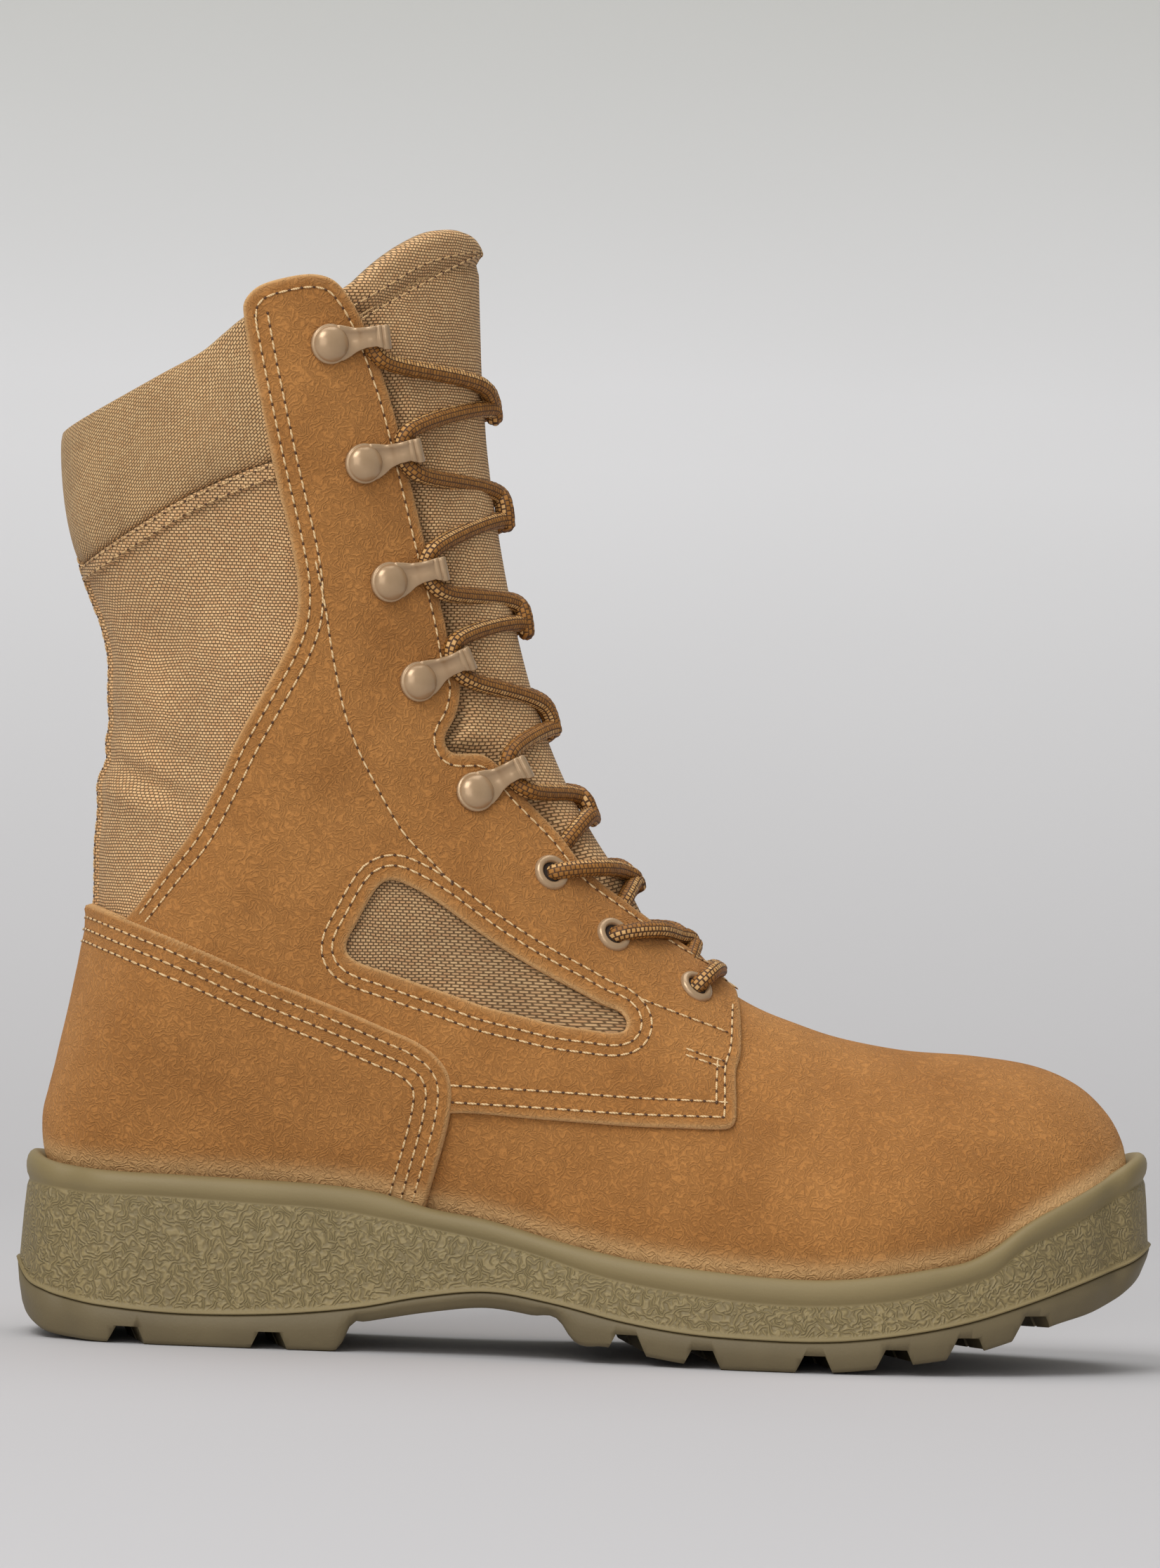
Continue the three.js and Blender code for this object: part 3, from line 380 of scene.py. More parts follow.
# Foamed rubber with a closed skin: matt, with a faint broad highlight on the rounded lip.
# The worm-like texture has lines about 0.6 mm wide and 0.2 mm deep, and stops at the lip.


def mark(piece, name, values):
    """Stores a value for each point of a piece, for its material to read."""
    marks = piece.data.attributes.get(name) or piece.data.attributes.new(name, "FLOAT", "POINT")
    marks.data.foreach_set("value", np.asarray(values).astype(np.float32))


WALL_RINGS = range(6, 11)  # the rings that lie on the textured wall
ring_number = np.arange(len(midsole.data.vertices)) // len(rings[0])
mark(midsole, "smooth_lip", ~np.isin(ring_number, WALL_RINGS))


def curly_lines(tree, place, patch, pitch):
    """Short curly lines: patches of a width in millimetres, each with lines that run its own way."""
    wobble = add(tree, "ShaderNodeTexNoise", inputs={
        "Vector": place.outputs["Object"], "Scale": 420.0, "Detail": 0.0})
    strayed = add(tree, "ShaderNodeVectorMath", {"operation": "MULTIPLY_ADD"}, {
        0: wobble.outputs["Color"], 1: (0.004, 0.004, 0.004), 2: place.outputs["Object"]})
    patches = add(tree, "ShaderNodeTexVoronoi", inputs={
        "Vector": strayed.outputs[0], "Scale": 1000.0 / patch})
    lean = add(tree, "ShaderNodeVectorMath", {"operation": "SUBTRACT"}, {
        0: patches.outputs["Color"], 1: (0.5, 0.5, 0.5)})
    way = add(tree, "ShaderNodeVectorMath", {"operation": "NORMALIZE"}, {0: lean.outputs[0]})
    run = add(tree, "ShaderNodeVectorMath", {"operation": "DOT_PRODUCT"}, {
        0: strayed.outputs[0], 1: way.outputs[0]})
    bands = add(tree, "ShaderNodeMath", {"operation": "MULTIPLY"}, {
        0: run.outputs["Value"], 1: 2000 * math.pi / pitch})
    return add(tree, "ShaderNodeMath", {"operation": "SINE"}, {0: bands.outputs[0]})


place = add(tree, "ShaderNodeTexCoord")
worms = curly_lines(tree, place, patch=2.6, pitch=1.15)
plain = add(tree, "ShaderNodeAttribute", {"attribute_name": "smooth_lip"})
relief = add(tree, "ShaderNodeMath", {"operation": "MULTIPLY_ADD"}, {
    0: plain.outputs["Fac"], 1: -1.0, 2: 1.0})
worm_height = add(tree, "ShaderNodeMath", {"operation": "MULTIPLY"}, {
    0: worms.outputs[0], 1: relief.outputs[0]})
cloud = add(tree, "ShaderNodeTexNoise", inputs={
    "Vector": place.outputs["Object"], "Scale": 30.0, "Detail": 3.0})
tint = add(tree, "ShaderNodeMix", {"data_type": "RGBA"}, {
    "Factor": cloud.outputs["Fac"], 6: linear("#80704a"), 7: linear("#928056")})
# The lines' colour is painted darker in their grooves and lighter on their ridges: painted shade and
# painted highlight, on top of the bump.
shade = add(tree, "ShaderNodeMapRange", inputs={
    "Value": worm_height.outputs[0], "From Min": -0.8, "From Max": 0.8, "To Min": 0.78, "To Max": 1.12})
groove_shaded_tint = add(tree, "ShaderNodeMix", {"data_type": "RGBA", "blend_type": "MULTIPLY"}, {
    "Factor": 1.0, 6: tint.outputs[2], 7: shade.outputs[0]})
grit = add(tree, "ShaderNodeTexNoise", inputs={
    "Vector": place.outputs["Object"], "Scale": 1500.0, "Detail": 2.0})
dimple = add(tree, "ShaderNodeBump", inputs={
    "Height": grit.outputs["Fac"], "Strength": 0.25, "Distance": 0.0002})
trench = add(tree, "ShaderNodeBump", inputs={
    "Height": worm_height.outputs[0], "Strength": 0.8, "Distance": 0.0002, "Normal": dimple.outputs[0]})
shader = add(tree, "ShaderNodeBsdfPrincipled", inputs={
    "Base Color": groove_shaded_tint.outputs[2], "Roughness": 0.6, "IOR": 1.5, "Normal": trench.outputs[0]})
tree.links.new(shader.outputs[0], output.inputs["Surface"])
midsole.data.materials.append(foam_rubber)
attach(midsole, "root")
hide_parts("midsole")

# ---------------------------------------------------------------- insole
# A foam sock liner with a knitted face, dropped into the boot and held by its own fit.
# It follows the last's bottom and curls up a little at its edge.
SECTIONS = np.array([
    # topX, topZ, lowX, lowZ, midY, half widths: outer low, mid, high; inner low, mid, high; squareness
    (249, 55, 249, 45.5, 8, 7, 8.5, 6, 6, 7, 5, .45),
    (247.6, 61.5, 246.8, 40, 8, 16, 19, 12.5, 12.5, 15, 10, .4),
    (243.2, 69, 242, 34.5, 7.7, 25, 28, 18, 19, 21.5, 14.5, .3),
    (235, 76.2, 233.5, 29.5, 7, 34, 36.5, 23, 26, 28.5, 19, .22),
    (223, 81, 221.5, 24.7, 6, 41.5, 42.5, 26.5, 32.5, 33.5, 22.5, .18),
    (206, 83.2, 205, 20.5, 4.5, 48, 47.5, 28.5, 38.5, 38.5, 25, .15),
    (186, 84.2, 185, 17.3, 3, 52, 49.5, 29, 43.5, 42, 26, .13),
    (165, 88.2, 163, 15.8, 2, 53, 49, 28, 46, 43, 26, .12),
    (142.5, 96.8, 139, 16.3, 1, 50.5, 46, 26.5, 43.5, 41, 25, .12),
    (128.5, 108.5, 117, 18.5, 0, 46, 43, 25, 39, 38.5, 24, .12),
    (116, 120.5, 94, 23, 0, 41.5, 41, 24.5, 34, 36.5, 23.5, .12),
    (105, 134, 70, 29.5, 0, 37.5, 39.5, 24.5, 31, 36.5, 24, .12),
    (96.5, 147.5, 44, 35.5, 0, 35, 39, 25, 31, 37.5, 24.5, .12),
    (89.5, 161.5, 14, 38, 0, 33.5, 38.5, 25.5, 32.5, 38, 25.5, .13),
    (84, 176, -16, 38.5, 0, 32.5, 38.5, 26, 32, 38.5, 26, .2),
    (80, 189, -34.5, 43.5, 0, 31.5, 39, 26.5, 31.5, 39, 26.5, .35),
    (77, 201, -40.6, 57.5, 0, 30.5, 39.5, 27, 30.5, 39.5, 27, .48),
    (74.5, 212, -38.2, 73.5, 0, 29, 40, 27, 29, 40, 27, .5),
    (72.3, 223, -34.2, 93, 0, 27.5, 40, 27, 27.5, 40, 27, .5),
    (70.5, 233, -31.6, 114, 0, 26.5, 40, 27, 26.5, 40, 27, .5),
    (69, 243, -31.8, 133, 0, 26.5, 40.5, 27, 26.5, 40.5, 27, .5),
    (68, 252.5, -30.8, 153, 0, 27, 41, 27, 27, 41, 27, .5),
    (67, 262, -29.2, 175, 0, 28.5, 41.5, 27, 28.5, 41.5, 27, .5),
    (66.3, 272, -33, 191, 0, 31, 43, 27, 31, 43, 27, .5),
    (65.6, 283, -37.8, 204, 0, 32.5, 44, 27.5, 32.5, 44, 27.5, .5),
    (65, 294, -42, 221, 0, 33.5, 45, 27.5, 33.5, 45, 27.5, .5),
    (64.4, 306, -45.6, 241.5, 0, 34, 45.5, 27.5, 34, 45.5, 27.5, .5),
    (63.8, 319, -48, 260, 0, 34, 45.5, 27.5, 34, 45.5, 27.5, .5)])
FORM_END = len(SECTIONS) - 1
# Creases that the foot has set in the leather and the nylon, seen from the side: their line, their
# depth (a trough is above 0, a swelling below), their half width and their strength on the inner side.
CREASES = [
    (((-34, 197), (-25, 189), (-12, 184), (-2, 183)), 1.6, 7.0, 0.9),
    (((-34, 166), (-22, 161), (-10, 155), (0, 152), (6, 153)), 1.5, 4.5, 1.0),
    (((-33, 176), (-22, 172), (-8, 168)), -0.9, 6.0, 1.0),
    (((-33, 157), (-26, 153), (-15, 147), (-4, 142)), 3.0, 3.0, 1.0),
    (((-33, 149), (-24, 145), (-14, 140)), -1.1, 3.4, 1.0),
    (((-33, 140), (-22, 139), (-12, 134)), 0.7, 5.0, 0.8),
    (((26, 196), (28, 176), (20, 150), (8, 132)), 0.8, 8.0, 0.8),
    (((44, 176), (50, 160), (54, 148)), -0.7, 7.0, 0.8),
    (((150, 92), (146, 80), (149, 64), (158, 46)), 1.3, 7.0, 0.7),
    (((165, 86), (163, 72), (168, 56), (178, 42)), 1.0, 8.0, 0.7),
    (((157, 88), (154, 74), (158, 58)), -0.6, 6.0, 0.7),
    (((78, 58), (100, 50), (124, 48)), 0.8, 9.0, 1.0),
    (((-36, 96), (-20, 88), (0, 84)), -0.6, 10.0, 1.0),
    (((-30, 62), (-5, 66), (25, 62)), 0.6, 12.0, 1.0),
]


def section(u):
    """The section table's row at a fractional place u, by a smooth curve through the rows."""
    u = np.clip(np.asarray(u, float), 0, FORM_END)
    i = np.clip(np.floor(u).astype(int), 0, FORM_END - 1)
    t = (u - i)[..., None]
    p0, p1, p2, p3 = (SECTIONS[np.clip(i + k, 0, FORM_END)] for k in (-1, 0, 1, 2))
    return 0.5 * (2 * p1 + (p2 - p0) * t + (2 * p0 - 5 * p1 + 4 * p2 - p3) * t**2
                  + (3 * p1 - p0 - 3 * p2 + p3) * t**3)


def last_form(u, v):
    """Points of the last: u runs along the sections, v once round from the low point, outer side first."""
    s = section(u)
    v = np.mod(v, 1.0)
    t = (1 - np.cos(2 * np.pi * v)) / 2
    outer = (v <= 0.5)[..., None]
    widths = np.where(outer, s[..., 5:8], s[..., 8:11])
    square = np.maximum(0.1, s[..., 11])
    at = (0.15, 0.5, 0.85)
    width = 0.0
    for k, a in enumerate(at):
        part = widths[..., k] / (a**square * (1 - a) ** 0.5)
        for b in at:
            if b != a:
                part = part * (t - b) / (a - b)
        width = width + part
    width = np.maximum(0, width * np.maximum(t, 1e-9)**square * np.maximum(1 - t, 0) ** 0.5)
    return np.stack([
        s[..., 2] + (s[..., 0] - s[..., 2]) * t,
        s[..., 4] + np.where(outer[..., 0], -width, width),
        s[..., 3] + (s[..., 1] - s[..., 3]) * t], -1)


def slopes_of_form(u, v):
    """The last's two slopes, along u and along v."""
    du, dv = 0.02, 0.003
    along = (last_form(np.minimum(u + du, FORM_END), v) - last_form(np.maximum(u - du, 0), v)) / (2 * du)
    return along, (last_form(u, v + dv) - last_form(u, v - dv)) / (2 * dv)


def unit(vectors):
    """Vectors made one unit long."""
    return vectors / np.maximum(np.linalg.norm(vectors, axis=-1, keepdims=True), 1e-12)


def off_line(points, line):
    """How far points (x, z) lie from a line, and the share of its length where they are nearest."""
    line = np.asarray(line, float)
    best = np.full(len(points), np.inf)
    share = np.zeros(len(points))
    lengths = np.linalg.norm(np.diff(line, axis=0), axis=1)
    run = np.concatenate([[0], np.cumsum(lengths)])
    for a, b, start, length in zip(line, line[1:], run, lengths):
        t = np.clip(((points - a) @ (b - a)) / length**2, 0, 1)
        d = np.linalg.norm(points - a - t[:, None] * (b - a), axis=1)
        share = np.where(d < best, (start + t * length) / run[-1], share)
        best = np.minimum(best, d)
    return best, share


def creases(points):
    """How far the creases draw the surface in at points of the last."""
    flat = points.reshape(-1, 3)
    total = np.zeros(len(flat))
    for line, depth, half_width, inner in CREASES:
        d, share = off_line(flat[:, (0, 2)], line)
        fade = np.sin(np.pi * np.clip(share, 0.03, 0.97)) ** 0.7
        side = np.where(flat[:, 1] > 0, inner, 1.0)
        total += depth * side * fade * np.exp(-(d / half_width) ** 2)
    return total.reshape(points.shape[:-1])


def boot_form(u, v, lift=0.0):
    """Points that stand off the creased last by a lift, in millimetres."""
    u, v = np.broadcast_arrays(np.asarray(u, float), np.asarray(v, float))
    bare = last_form(u, v)
    along, around = slopes_of_form(u, v)
    return bare + unit(np.cross(around, along)) * (np.asarray(lift) - creases(bare))[..., None]


INSOLE_LIFT, INSOLE_THICK, INSOLE_SIDE, INSOLE_CURL = 3.6, 4.5, 5.0, 2.4
stations = np.linspace(1.2, 14.7, 120)
row = section(stations)
low = np.stack([row[:, 2], row[:, 3]], 1)
rounded = np.sqrt(1 - np.clip((stations - 13.2) / 1.5, 0, 1) ** 2)
tops, bottoms = [], []
for share in np.linspace(-1, 1, 41):
    width = (np.where(share < 0, row[:, 5], row[:, 8]) - INSOLE_SIDE) * rounded
    y = row[:, 4] + share * np.maximum(width, 1)
    curl = INSOLE_CURL * np.abs(share) ** 5
    tops.append(np.column_stack([low[:, 0], y, low[:, 1] + INSOLE_LIFT + INSOLE_THICK + curl]))
    bottoms.append(np.column_stack([low[:, 0], y, low[:, 1] + INSOLE_LIFT + curl * 0.8]))
tops, bottoms = np.array(tops), np.array(bottoms)
rings = [np.concatenate([tops[:, i], bottoms[::-1, i]]) for i in range(len(stations))]
faces = [tuple(reversed(f)) for f in ringed(rings) + end_caps(rings)]
insole = mesh_piece("insole_sock_liner", np.concatenate(rings), faces)
knit, tree, output = new_finish("knitted_lining_fabric_sand")
# Warp-knitted polyester over foam: quite matt, with fine loops 1 mm apart that break up the light.
place = add(tree, "ShaderNodeTexCoord")
knit_loops = add(tree, "ShaderNodeTexVoronoi", {"feature": "F1"}, {
    "Vector": place.outputs["Object"], "Scale": 1000.0})
tint = add(tree, "ShaderNodeMix", {"data_type": "RGBA"}, {
    "Factor": knit_loops.outputs["Distance"], 6: linear("#a08660"), 7: linear("#6f5a3c")})
bumps = add(tree, "ShaderNodeBump", {"invert": True}, {
    "Height": knit_loops.outputs["Distance"], "Strength": 0.7, "Distance": 0.0004})
shader = add(tree, "ShaderNodeBsdfPrincipled", inputs={
    "Base Color": tint.outputs[2], "Roughness": 0.95, "Sheen Weight": 0.15, "Normal": bumps.outputs[0]})
tree.links.new(shader.outputs[0], output.inputs["Surface"])
insole.data.materials.append(knit)
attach(insole, "root")
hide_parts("insole")

# ---------------------------------------------------------------- lining
# The shaft and the instep are lined with knitted fabric, glued behind the leather and the nylon.
# It is turned in at the collar and at the facings, and ends under the insole.
COLLAR_TOP = [
    (-48, 240.8), (-45.7, 242), (-29.4, 250.4), (-17.3, 257), (-6.5, 263), (-0.6, 268), (4.6, 272.2)]
FACING_TOP = [
    (4.3, 276.2), (7.4, 280.5), (15.5, 283.7), (22.6, 284.8), (27.4, 283.5), (31.7, 278.9), (34.8, 273.7)]
FACING_FRONT = [
    (39.2, 263.5), (43.8, 250.6), (48.6, 233), (53.4, 215.4), (59.5, 194.3), (61.7, 184.9), (64.2, 177.8),
    (63.4, 169.5), (60.9, 163.4), (62.6, 159.8), (71.1, 159.3), (75.8, 155.8), (80, 150.6), (92, 138.2),
    (99.4, 129.1), (109.2, 121.5), (118.6, 114.5), (125.2, 110), (131, 106.2)]
SPACING = np.array([14.0, 280.0])  # about how many millimetres one step of u and one turn of v measure
BORDER_STEP, EDGE_DROP, FRAY_WIDTH = 1.2, 0.6, 1.1  # along a cut edge; its rounding; its frayed band
SEAM_DEPTH, SEAM_HALF_WIDTH = 0.28, 0.9


def evenly(line, step, measured, closed=False):
    """A line's points spaced evenly, with the spacing measured on its copy on the last."""
    if closed:
        line, measured = (np.concatenate([a, a[:1]]) for a in (line, measured))
    run = np.concatenate([[0], np.cumsum(np.linalg.norm(np.diff(measured, axis=0), axis=1))])
    count = max(3, int(round(run[-1] / step)) + 1)
    at = np.linspace(0, run[-1], count)
    made = np.stack([np.interp(at, run, line[:, k]) for k in range(line.shape[1])], 1)
    return made[:-1] if closed else made


def smooth_line(points, step=1.0, closed=False):
    """A smooth curve through points, centripetal, so that it doesn't swing out at corners."""
    p = np.asarray(points, float)
    if closed:
        q = np.concatenate([p[-1:], p, p[:2]])
    else:
        q = np.concatenate([2 * p[:1] - p[1:2], p, 2 * p[-1:] - p[-2:-1]])
    knot = np.concatenate([[0], np.cumsum(np.sqrt(np.linalg.norm(np.diff(q, axis=0), axis=1)))])
    parts = []
    for k in range(1, len(q) - 2):
        t0, t1, t2, t3 = knot[k - 1:k + 3]
        t = np.linspace(t1, t2, 24, endpoint=False)[:, None]
        a1 = (t1 - t) / (t1 - t0) * q[k - 1] + (t - t0) / (t1 - t0) * q[k]
        a2 = (t2 - t) / (t2 - t1) * q[k] + (t - t1) / (t2 - t1) * q[k + 1]
        a3 = (t3 - t) / (t3 - t2) * q[k + 1] + (t - t2) / (t3 - t2) * q[k + 2]
        b1 = (t2 - t) / (t2 - t0) * a1 + (t - t0) / (t2 - t0) * a2
        b2 = (t3 - t) / (t3 - t1) * a2 + (t - t1) / (t3 - t1) * a3
        parts.append((t2 - t) / (t2 - t1) * b1 + (t - t1) / (t2 - t1) * b2)
    dense = np.concatenate(parts + ([] if closed else [p[-1:]]))
    return evenly(dense, step, dense, closed)


STATIONS = np.linspace(0, FORM_END, 1081)
STATION_ROWS = section(STATIONS)


def on_side(points, side, over_back=False):
    """Where side-view points (x, z) lie on the last: (u, v) on the outer (-1) or the inner (1) side."""
    points = np.atleast_2d(np.asarray(points, float))
    top, low = STATION_ROWS[:, 0:2], STATION_ROWS[:, 2:4]
    span = top - low
    off = points[:, None] - low[None]
    reach = np.hypot(span[:, 0], span[:, 1])
    across = (span[:, 0] * off[..., 1] - span[:, 1] * off[..., 0]) / reach
    share = (off * span).sum(-1) / reach**2
    cost = np.abs(across) + 40 * np.maximum(0, np.abs(share - 0.5) - 0.5)
    near = cost.argmin(1)
    rows = np.arange(len(points))
    here = across[rows, near]
    after = across[rows, np.minimum(near + 1, len(STATIONS) - 1)]
    before = across[rows, np.maximum(near - 1, 0)]
    step = STATIONS[1]
    shift = np.where(here * after < 0, here / (here - after + 1e-12), 0)
    shift = np.where(here * before < 0, -here / (here - before + 1e-12), shift)
    u = STATIONS[near] + step * shift
    row = section(u)
    low, span = row[:, 2:4], row[:, 0:2] - row[:, 2:4]
    t = np.clip(((points - low) * span).sum(1) / (span**2).sum(1), 0, 1)
    v = np.arccos(1 - 2 * t) / (2 * np.pi)
    if side > 0:
        v = (0 if over_back else 1) - v
    return np.stack([u, v], 1)


def aside(line, distance, closed=True):
    """A line on the last, moved across the surface to the left of its travel in u and v."""
    u, v = line.T
    points = last_form(u, v)
    ahead, behind = np.roll(points, -1, 0), np.roll(points, 1, 0)
    if not closed:
        ahead[-1], behind[0] = points[-1], points[0]
    pu, pv = slopes_of_form(u, v)
    left = np.cross(unit(np.cross(pu, pv)), unit(ahead - behind))
    e, f, g = (pu * pu).sum(1), (pu * pv).sum(1), (pv * pv).sum(1)
    a, b = (left * pu).sum(1), (left * pv).sum(1)
    det = np.maximum(e * g - f * f, 1e-3)
    return line + distance * np.stack([(a * g - b * f) / det, (b * e - a * f) / det], 1)


def inside(points, loop):
    """Whether points lie within a closed loop."""
    a, b = loop, np.roll(loop, -1, 0)
    x, y = points[:, 0, None], points[:, 1, None]
    crosses = (a[:, 1] > y) != (b[:, 1] > y)
    slope = (b[:, 0] - a[:, 0]) / np.where(b[:, 1] == a[:, 1], 1e-12, b[:, 1] - a[:, 1])
    return ((x < a[:, 0] + (y - a[:, 1]) * slope) & crosses).sum(1) % 2 == 1


def nearest(points, targets):
    """How far each point lies from the nearest of the targets."""
    tree = KDTree(len(targets))
    for i, target in enumerate(targets):
        tree.insert(target, i)
    tree.balance()
    return np.array([tree.find(p)[2] for p in points])


def weave_grain(points):
    """Thread directions on the shaft: round the leg, and up it."""
    return np.column_stack([42 * np.arctan2(-points[:, 1], 20 - points[:, 0]), points[:, 2]])


def sheet(name, outline, lift, thick, holes=(), pitch=1.5, edge=0.9, seams=None, grain=weave_grain):
    """A closed sheet on the last, cut to an outline in (u, v), with rounded edges.
    lift is how far its face stands off the last, or a function of points on the last that says it.
    Seams press the sheet in where they run."""
    loops = []
    for k, loop in enumerate((outline, *holes)):
        loop = evenly(loop, BORDER_STEP, last_form(*loop.T), closed=True)
        a, b = loop * SPACING, np.roll(loop * SPACING, -1, 0)
        area = (a[:, 0] * b[:, 1] - a[:, 1] * b[:, 0]).sum()
        loops.append(loop if (area > 0) == (k == 0) else loop[::-1])
    border = np.concatenate([last_form(*loop.T) for loop in loops])
    low, high = loops[0].min(0), loops[0].max(0)
    spans = (np.arange(low[k], high[k], pitch / SPACING[k]) for k in (0, 1))
    gu, gv = np.meshgrid(*spans, indexing="ij")
    grid = np.stack([gu.ravel(), gv.ravel()], 1)
    keep = inside(grid, loops[0])
    for hole in loops[1:]:
        keep &= ~inside(grid, hole)
    grid = grid[keep]
    grid = grid[nearest(last_form(*grid.T), border) > edge + 0.55 * pitch]
    rings = [aside(loop, d) for loop in loops for d in (0.35 * edge, edge)]
    flat = np.concatenate([*loops, *rings, grid]) * SPACING
    bounds, start = [], 0
    for loop in loops:
        n = len(loop)
        bounds += [(start + i, start + (i + 1) % n) for i in range(n)]
        start += n
    made = delaunay_2d_cdt([Vector(p) for p in flat], bounds, [], 1, 1e-5, False)
    uv = np.array([tuple(p) for p in made[0]]) / SPACING
    triangles = np.array([t for t in made[2] if len(t) == 3])
    centre = uv[triangles].mean(1)
    kept = inside(centre, loops[0])
    for hole in loops[1:]:
        kept &= ~inside(centre, hole)
    triangles = triangles[kept]
    used, triangles = np.unique(triangles, return_inverse=True)
    uv, triangles = uv[used], triangles.reshape(-1, 3)
    bare = last_form(*uv.T)
    off_edge = nearest(bare, border)
    rise = np.sqrt(1 - (1 - np.minimum(off_edge / edge, 1)) ** 2)
    face = lift(bare) if callable(lift) else np.full(len(uv), float(lift))
    back = face - thick
    face = face - EDGE_DROP * thick * (1 - rise)
    if seams is not None:
        face -= SEAM_DEPTH * np.exp(-(nearest(bare, seams) / SEAM_HALF_WIDTH) ** 2)
    tops, bottoms = boot_form(*uv.T, face), boot_form(*uv.T, back)
    edges = {(a, b) for t in triangles.tolist() for a, b in zip(t, t[1:] + t[:1])}
    n = len(uv)
    faces = triangles[:, ::-1].tolist() + (triangles + n).tolist()
    faces += [(a, b, b + n, a + n) for a, b in sorted(edges) if (b, a) not in edges]
    piece = mesh_piece(name, np.concatenate([tops, bottoms]), faces)
    frayed = np.maximum(0, 1 - off_edge / FRAY_WIDTH)
    finish_sheet(piece, np.tile(frayed, 2), grain(np.tile(bare, (2, 1))))
    return piece


def corner_points(piece):
    """The number of the point at each corner of each face."""
    corners = np.zeros(len(piece.data.loops), int)
    piece.data.loops.foreach_get("vertex_index", corners)
    return corners


def map_threads(piece, places):
    """Stores the threads' directions as a UV map, in metres, from a place in millimetres at each corner."""
    layer = piece.data.uv_layers.new(name="threads")
    layer.data.foreach_set("uv", (places * MM).astype(np.float32).ravel())


def finish_sheet(piece, edge_share, grain):
    """Stores how near the cut edge each point is, and the threads' directions."""
    mark(piece, "cut_edge", edge_share)
    map_threads(piece, grain[corner_points(piece)])


def both_sides(line, over_back):
    """The (u, v) outline of a piece that lies on both sides, from one side-view line."""
    return np.concatenate([on_side(line, -1, over_back), on_side(line, 1, over_back)[::-1]])


throat = smooth_line(COLLAR_TOP + FACING_TOP + FACING_FRONT)
outer = on_side(throat, -1)
foot = np.array([(9.2, 0.5), (9.2, 0.06), (12, 0.06), (15.5, 0.06), (15.8, 0.0)])
outer = np.concatenate([outer, foot])
lining = sheet("lining", np.concatenate([outer, (outer * (1, -1))[::-1]]), -2.1, 0.9, pitch=2.5, edge=0.4)
lining.data.materials.append(knit)
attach(lining, "root")
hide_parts("upper")

# ---------------------------------------------------------------- vamp and toe
# One piece of rough-out suede, pulled over the last and down into the midsole cup. Its back edge goes
# under the quarters and the heel counter.
VAMP_BACK = [(134.5, 103.6), (131, 98), (124, 88), (110, 76), (82, 71), (60, 70), (52, 56), (52, 33)]
VAMP_THICK = 1.8
outer = on_side(smooth_line(VAMP_BACK), -1)
under = np.array([(outer[-1, 0] - 0.2, 0.06), (8, 0.06), (4, 0.06), (1.2, 0.07), (0.02, 0.1)])
half = np.concatenate([[(outer[0, 0], 0.5)], outer, under, [(0.02, 0.5)]])
vamp = sheet("vamp_toe", np.concatenate([half, (half * (1, -1) + (0, 1))[::-1]]), 0.0, VAMP_THICK)


def points_of(piece):
    """A piece's points, in millimetres."""
    return np.array([tuple(vertex.co) for vertex in piece.data.vertices]) / MM


def pale_band_above_lip(piece):
    """Marks a paler band on the leather just above the midsole's lip, painted in the cut edge's colour."""
    spots = points_of(piece)
    above = spots[:, 2] - through(LIP_TOP, np.clip(spots[:, 0], LIP_TOP[0][0], LIP_TOP[-1][0]))
    near_edge = np.zeros(len(spots), np.float32)
    piece.data.attributes["cut_edge"].data.foreach_get("value", near_edge)
    mark(piece, "cut_edge", np.maximum(near_edge, np.exp(-((above - 1) / 3.2) ** 2)))


pale_band_above_lip(vamp)


